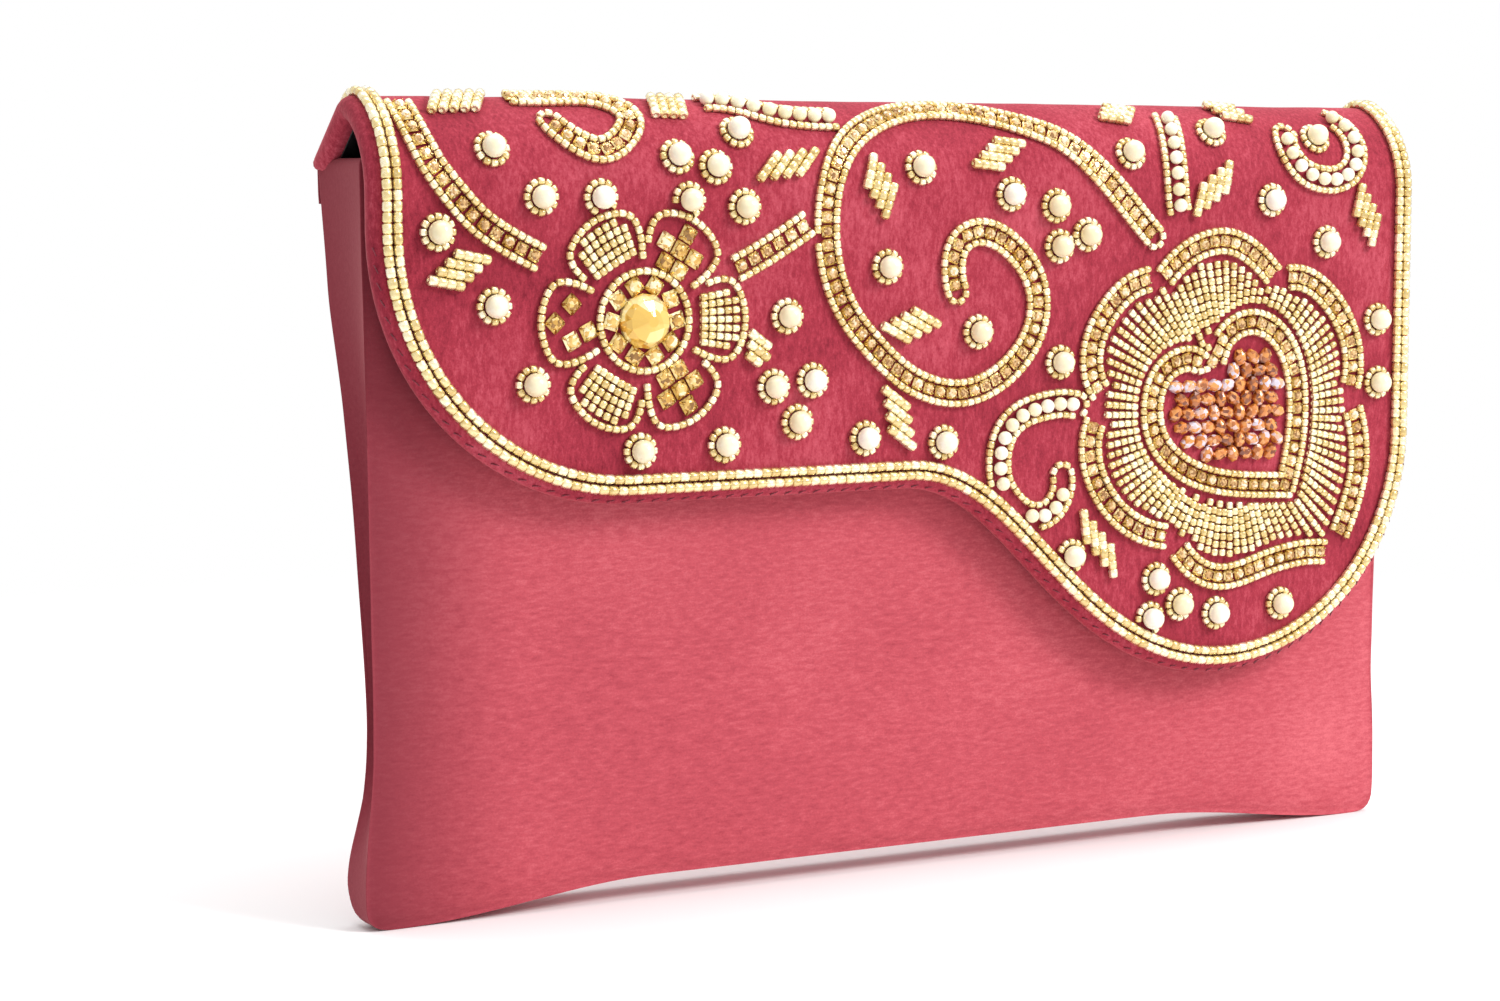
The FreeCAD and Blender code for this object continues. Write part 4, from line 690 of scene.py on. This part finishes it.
# beads, stones and pearls: modelled once at unit size, then one copy at each CAD place
def keepTemplate(obj):
    makeActive(obj)
    bpy.ops.object.mode_set(mode="EDIT")
    bpy.ops.mesh.select_all(action="SELECT")
    bpy.ops.mesh.remove_doubles(threshold=1e-5)
    bpy.ops.mesh.normals_make_consistent(inside=False)
    bpy.ops.object.mode_set(mode="OBJECT")
    points = getPoints(obj)
    faces = [list(p.vertices) for p in obj.data.polygons]
    bpy.data.objects.remove(obj)
    return points, faces


def selectFaces(obj, test):
    bpy.ops.mesh.select_mode(type="FACE")
    bpy.ops.mesh.select_all(action="DESELECT")
    mesh = bmesh.from_edit_mesh(obj.data)
    for face in mesh.faces:
        if test(face):
            face.select_set(True)
    bmesh.update_edit_mesh(obj.data)


def seedTemplate():
    # a drilled bead with rounded shoulders, lying along X, 1 long and 1 in radius
    clearSelection()
    bpy.ops.mesh.primitive_cylinder_add(vertices=8, radius=1, depth=1, rotation=(0, math.pi / 2, 0))
    bead = bpy.context.object
    bpy.ops.object.transform_apply(location=False, rotation=True, scale=False)
    bpy.ops.object.mode_set(mode="EDIT")
    for end in (-1, 1):
        selectFaces(bead, lambda f: f.normal.x * end > 0.9)
        bpy.ops.mesh.inset(thickness=0.22)
        bpy.ops.mesh.inset(thickness=0.36)
        bpy.ops.mesh.extrude_region_move(TRANSFORM_OT_translate={"value": (-0.12 * end, 0, 0)})
    bpy.ops.object.mode_set(mode="OBJECT")
    points = getPoints(bead)
    radius = np.hypot(points[:, 1], points[:, 2])
    outer = radius > 0.97
    points[outer, 0] *= 0.72
    setPoints(bead, points)
    return keepTemplate(bead)


def pearlTemplate():
    # a round pearl with the mouths of its hole and a flat where it is sewn down
    clearSelection()
    bpy.ops.mesh.primitive_uv_sphere_add(segments=16, ring_count=11, radius=1)
    ball = bpy.context.object
    bpy.ops.object.mode_set(mode="EDIT")
    for end in (-1, 1):
        selectFaces(ball, lambda f: f.calc_center_median().x * end > 0.955)
        bpy.ops.mesh.inset(thickness=0.05)
        bpy.ops.mesh.extrude_region_move(TRANSFORM_OT_translate={"value": (-0.08 * end, 0, 0)})
    bpy.ops.object.mode_set(mode="OBJECT")
    points = getPoints(ball)
    points[:, 2] = np.maximum(points[:, 2], -0.96)
    setPoints(ball, points)
    return keepTemplate(ball)


def cupTemplate():
    # a square stamped cup, open on top, with a claw at each corner
    clearSelection()
    bpy.ops.mesh.primitive_cube_add(size=2)
    cup = bpy.context.object
    points = getPoints(cup)
    setPoints(cup, points * [0.84, 0.84, 0.3] + [0, 0, 0.3])
    bpy.ops.object.mode_set(mode="EDIT")
    bpy.ops.mesh.select_all(action="SELECT")
    bpy.ops.mesh.bevel(offset=0.2, segments=1, affect="EDGES")
    selectFaces(cup, lambda f: f.normal.z > 0.9)
    bpy.ops.mesh.inset(thickness=0.06)
    bpy.ops.mesh.extrude_region_move(TRANSFORM_OT_translate={"value": (0, 0, -0.25)})
    bpy.ops.object.mode_set(mode="OBJECT")
    body = [cup]
    for k in range(4):
        angle = math.pi / 4 + k * math.pi / 2
        bpy.ops.mesh.primitive_cone_add(vertices=5, radius1=0.2, radius2=0.09, depth=0.62,
                                        location=(0.96 * math.cos(angle), 0.96 * math.sin(angle), 0.62))
        claw = bpy.context.object
        bpy.ops.object.transform_apply(location=True, rotation=False, scale=False)
        tips = getPoints(claw)
        pull = np.where(tips[:, 2] > 0.7, 0.8, 1.0)
        setPoints(claw, np.stack([tips[:, 0] * pull, tips[:, 1] * pull, tips[:, 2]], axis=1))
        body.append(claw)
    clearSelection()
    for piece in body:
        piece.select_set(True)
    bpy.context.view_layer.objects.active = cup
    bpy.ops.object.join()
    return keepTemplate(cup)


def gemTemplate(sides, table, crown, base):
    # a faceted stone: girdle, a kite-cut crown and a flat table, standing on Z from 0 to 1
    clearSelection()
    bpy.ops.mesh.primitive_cylinder_add(vertices=sides, radius=1, depth=base, location=(0, 0, base / 2))
    gem = bpy.context.object
    bpy.ops.object.transform_apply(location=True, rotation=False, scale=False)
    bpy.ops.object.mode_set(mode="EDIT")
    selectFaces(gem, lambda f: f.normal.z > 0.9)
    bpy.ops.mesh.extrude_region_move(TRANSFORM_OT_translate={"value": (0, 0, (crown - base) * 0.6)})
    bpy.ops.transform.resize(value=(0.76, 0.76, 1), center_override=(0, 0, crown))
    bpy.ops.transform.rotate(value=math.pi / sides, orient_axis="Z", center_override=(0, 0, 0))
    bpy.ops.mesh.extrude_region_move(TRANSFORM_OT_translate={"value": (0, 0, (crown - base) * 0.4)})
    bpy.ops.transform.resize(value=(table / 0.76, table / 0.76, 1), center_override=(0, 0, crown))
    bpy.ops.transform.rotate(value=math.pi / sides, orient_axis="Z", center_override=(0, 0, 0))
    bpy.ops.mesh.select_all(action="SELECT")
    bpy.ops.mesh.quads_convert_to_tris()
    bpy.ops.object.mode_set(mode="OBJECT")
    return keepTemplate(gem)


def islandsOf(node):
    # every separate solid of a CAD node: its corner points, in millimetres
    points = getPoints(nodes[node]) / mm
    keys = np.rint(points / 0.002).astype(np.int64)
    _, first, joined = np.unique(keys, axis=0, return_index=True, return_inverse=True)
    joined = joined.ravel()
    corners = np.zeros(len(nodes[node].data.loops), np.int64)
    nodes[node].data.loops.foreach_get("vertex_index", corners)
    triangles = joined[corners].reshape(-1, 3)
    label = np.arange(len(first))
    while True:
        low = label[triangles].min(1)
        fresh = label.copy()
        for k in range(3):
            np.minimum.at(fresh, triangles[:, k], low)
        fresh = fresh[fresh]
        if (fresh == label).all():
            break
        label = fresh
    spots = points[first]
    order = np.argsort(label, kind="stable")
    cuts = np.nonzero(np.diff(label[order]))[0] + 1
    return [spots[group] for group in np.split(order, cuts)]


def unit(vectors):
    return vectors / np.maximum(np.linalg.norm(vectors, axis=1, keepdims=True), 1e-9)


def placesOf(node):
    groups = islandsOf(node)
    centres = np.array([(g.min(0) + g.max(0)) / 2 for g in groups])
    return groups, centres, outwardAt(centres)


def copyTo(name, template, origins, axes, material, replaced=(), flat=False):
    # one mesh on the flap that holds a copy of the template at each place
    points, faces = template
    count = len(origins)
    placed = origins[:, None, :]
    for k in range(3):
        placed = placed + points[None, :, k, None] * axes[k][:, None, :]
    allFaces = [[i + k * len(points) for i in face] for k in range(count) for face in faces]
    mesh = bpy.data.meshes.new(name)
    mesh.from_pydata((placed.reshape(-1, 3) * mm).tolist(), [], allFaces)
    mesh.polygons.foreach_set("use_smooth", [not flat] * len(mesh.polygons))
    tone = mesh.attributes.new("tone", "FLOAT", "POINT")
    tone.data.foreach_set("value", np.repeat(rng.random(count), len(points)).astype(np.float32))
    mesh.materials.append(material)
    piece = bpy.data.objects.new(name, mesh)
    bpy.context.scene.collection.objects.link(piece)
    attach(piece, "flap")
    if replaced:
        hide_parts(*replaced)


seed = seedTemplate()
pearl = pearlTemplate()
cup = cupTemplate()
gem = gemTemplate(8, 0.5, 1.0, 0.45)
crystalGem = gemTemplate(6, 0.3, 1.0, 0.3)
bigGem = gemTemplate(12, 0.2, 1.0, 0.2)
print("bead shapes ready", len(seed[1]), len(cup[1]), len(gem[1]))


# beads are drawn fuller than their CAD solids, so that the rows close up as sewn rows do
sewn = {"thicker": 1.27, "longer": 1.14, "wobble": 0.16, "vary": 0.08,
        "pearl": 1.14, "ringLength": 2.1, "ringThick": 1.25}


def stringBeads(node):
    # short beads along the lines; each lies along its own solid, a little askew
    groups, centres, out = placesOf(node)
    axes = []
    for group, centre in zip(groups, centres):
        values, vectors = np.linalg.eigh(np.cov((group - centre).T))
        axes.append(vectors[:, 2])
    axes = np.array(axes)
    axes = unit(axes - out * (axes * out).sum(1, keepdims=True))
    length = np.array([2 * np.abs((g - c) @ a).max() for g, c, a in zip(groups, centres, axes)])
    radius = np.array([np.sqrt(np.maximum(((g - c) ** 2).sum(1) - ((g - c) @ a) ** 2, 0)).max()
                       for g, c, a in zip(groups, centres, axes)])
    side = np.cross(out, axes)
    wobble = (rng.random((len(centres), 1)) - 0.5) * sewn["wobble"]
    axes = unit(axes + side * wobble)
    side = np.cross(out, axes)
    size = sewn["thicker"] + (rng.random(len(centres)) - 0.5) * sewn["vary"]
    stretch = (length * sewn["longer"])[:, None]
    thick = (radius * size)[:, None]
    copyTo(node + "_sewn", seed, centres, (axes * stretch, side * thick, out * thick),
           goldBead, [node])


for node in ("border_outer_beads", "border_inner_beads", "flower_outline_beads", "flower_petal_beads",
             "vine_beads", "spiral_beads", "lotus_outline_beads", "heart_outline_beads", "lotus_ray_beads",
             "scroll_beads", "column_beads", "band_beads", "leaf_beads"):
    stringBeads(node)
print("bead strings sewn")

# the rosettes: pearls with a ring of seed beads
pearlCentres = None
for node in ("rosette_pearls", "scroll_pearls", "column_pearls", "band_pearls"):
    groups, centres, out = placesOf(node)
    radius = np.array([(g.max(0) - g.min(0))[0] / 2 for g in groups])
    turn = rng.random(len(centres)) * math.pi
    across = np.zeros_like(out)
    across[:, 0] = 1
    down = np.cross(out, across)
    axisX = across * np.cos(turn)[:, None] + down * np.sin(turn)[:, None]
    axisY = np.cross(out, axisX)
    if node == "rosette_pearls":
        radius = radius * sewn["pearl"]
    size = radius[:, None]
    copyTo(node + "_sewn", pearl, centres, (axisX * size, axisY * size, out * size),
           creamPearl, [node])
    if node == "rosette_pearls":
        pearlCentres = centres
groups, centres, out = placesOf("rosette_beads")
radius = np.array([(g.max(0) - g.min(0))[0] / 2 for g in groups])
nearest = np.argmin(((centres[:, None] - pearlCentres[None]) ** 2).sum(2), axis=1)
spoke = centres - pearlCentres[nearest]
spoke = unit(spoke - out * (spoke * out).sum(1, keepdims=True))
tangent = np.cross(out, spoke)
stretch, thick = (radius * sewn["ringLength"])[:, None], (radius * sewn["ringThick"])[:, None]
copyTo("rosette_beads_sewn", seed, centres, (tangent * stretch, spoke * thick, out * thick),
       goldBead, ["rosette_beads"])
print("rosettes sewn")


stones = {"fuller": 1.12, "cup": 1.02, "inCup": 0.72, "loose": 0.96, "long": 1.2, "narrow": 0.86}


def setStones(node, template, material, heightShare, loose=False):
    # cut stones: each in a claw cup turned to its neighbour, or loose, turned at random
    groups, centres, out = placesOf(node)
    radius = np.array([(g.max(0) - g.min(0))[0] / 2 for g in groups])
    height = np.array([((g - c) @ o).max() * 2 for g, c, o in zip(groups, centres, out)])
    feet = centres - out * (height / 2)[:, None]
    if loose:
        # loose cut crystals lie every way, longer than they are wide
        heading = rng.random((len(centres), 1)) * math.pi
        along = np.hstack([np.cos(heading), heading * 0, np.sin(heading)])
    elif len(centres) > 1:
        gaps = ((centres[:, None] - centres[None]) ** 2).sum(2) + np.eye(len(centres)) * 1e6
        along = centres[np.argmin(gaps, axis=1)] - centres
    else:
        along = np.array([[1.0, 0.2, 0.3]])
    along = unit(along - out * (along * out).sum(1, keepdims=True))
    side = np.cross(out, along)
    if loose and len(centres) > 1:
        along, side = along * stones["long"], side * stones["narrow"]
    scale = radius[:, None] * stones["fuller"]
    if not loose:
        wide = scale * stones["cup"]
        copyTo(node + "_cups", cup, feet, (along * wide, side * wide, out * height[:, None]),
               clawGold, flat=True)
    start = feet + out * (height * (1 - heightShare))[:, None]
    wide = scale * (stones["loose"] if loose else stones["inCup"])
    tall = (height * heightShare)[:, None]
    copyTo(node + "_set", template, start, (along * wide, side * wide, out * tall),
           material, [node], flat=True)


for node in ("vine_stones", "spiral_stones", "lotus_stones", "heart_stones"):
    setStones(node, gem, champagneGlass, 0.6)
for node in ("flower_ring_stones", "flower_petal_stones"):
    setStones(node, gem, topazGlass, 0.6)
setStones("heart_crystals", crystalGem, amberCrystal, 0.9, True)
setStones("flower_centre_stone", bigGem, bigTopaz, 0.97, True)
print("stones set")

# the snap's fittings keep their CAD shapes
for node, material in (("snap_socket", snapBrass), ("snap_stud", snapBrass),
                       ("snap_magnet", magnetGrey), ("snap_socket_washer", washerSteel),
                       ("snap_stud_washer", washerSteel)):
    nodes[node].data.materials.clear()
    nodes[node].data.materials.append(material)

# a white floor that fades into the white room, lights and camera
clearSelection()
bpy.ops.mesh.primitive_plane_add(size=1.6, location=(0, 0, 0))
floor = bpy.context.object
floor.name = "floor"
floorPaint, tree, shader, coords = startMaterial("white_paper_floor")
shader.inputs["Base Color"].default_value = hexColour("#fbfbfb")
shader.inputs["Roughness"].default_value = 0.8
reach = addNode(tree, "ShaderNodeVectorMath", [(0, coords)], operation="LENGTH")
fade = addNode(tree, "ShaderNodeMapRange", [("Value", reach.outputs["Value"])],
               interpolation_type="SMOOTHSTEP")
fade.inputs["From Min"].default_value = 0.26
fade.inputs["From Max"].default_value = 0.55
clear = addNode(tree, "ShaderNodeBsdfTransparent")
both = addNode(tree, "ShaderNodeMixShader", [(0, fade.outputs["Result"]), (1, shader.outputs[0]),
                                             (2, clear.outputs[0])])
tree.links.new(both.outputs[0], tree.nodes["Material Output"].inputs["Surface"])
floor.data.materials.append(floorPaint)
floor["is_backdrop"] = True

world = bpy.data.worlds.new("studio")
bpy.context.scene.world = world
world.use_nodes = True
tree = world.node_tree
background = tree.nodes["Background"]
background.inputs["Color"].default_value = (1, 1, 1, 1)
rays = addNode(tree, "ShaderNodeLightPath")
# white where it is seen or mirrored, a little dimmer as light on the purse
seen = addNode(tree, "ShaderNodeMath", [(0, rays.outputs["Is Camera Ray"]),
                                        (1, rays.outputs["Is Glossy Ray"])], operation="MAXIMUM")
seenToo = addNode(tree, "ShaderNodeMath", [(0, seen.outputs[0]),
                                           (1, rays.outputs["Is Transmission Ray"])],
                  operation="MAXIMUM")
strength = addNode(tree, "ShaderNodeMapRange", [("Value", seenToo.outputs[0])])
strength.inputs["To Min"].default_value = 0.64
strength.inputs["To Max"].default_value = 1.0
tree.links.new(strength.outputs["Result"], background.inputs["Strength"])


def addLamp(name, place, aim, size, power):
    clearSelection()
    bpy.ops.object.light_add(type="AREA", location=place)
    lamp = bpy.context.object
    lamp.name = name
    lamp.data.size = size
    lamp.data.energy = power
    lamp.rotation_euler = (Vector(aim) - Vector(place)).to_track_quat("-Z", "Y").to_euler()


addLamp("key", (0.6, -0.85, 0.8), (0.02, 0, 0.07), 0.45, 12)
addLamp("top", (0.0, 0.1, 1.2), (0, 0, 0.1), 1.0, 9)

clearSelection()
bpy.ops.object.camera_add(location=(-0.3603, -0.5794, 0.1486))
camera = bpy.context.object
azimuth, pitch = math.radians(-29.06), math.radians(5.82)
behind = Vector((math.sin(azimuth) * math.cos(pitch), -math.cos(azimuth) * math.cos(pitch),
                 math.sin(pitch)))
camera.rotation_euler = (-behind).to_track_quat("-Z", "Y").to_euler()
camera.data.sensor_width = 36
camera.data.lens = 76.6
bpy.context.scene.camera = camera
bpy.context.scene.view_settings.view_transform = "Standard"

low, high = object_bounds()
print("scene done")
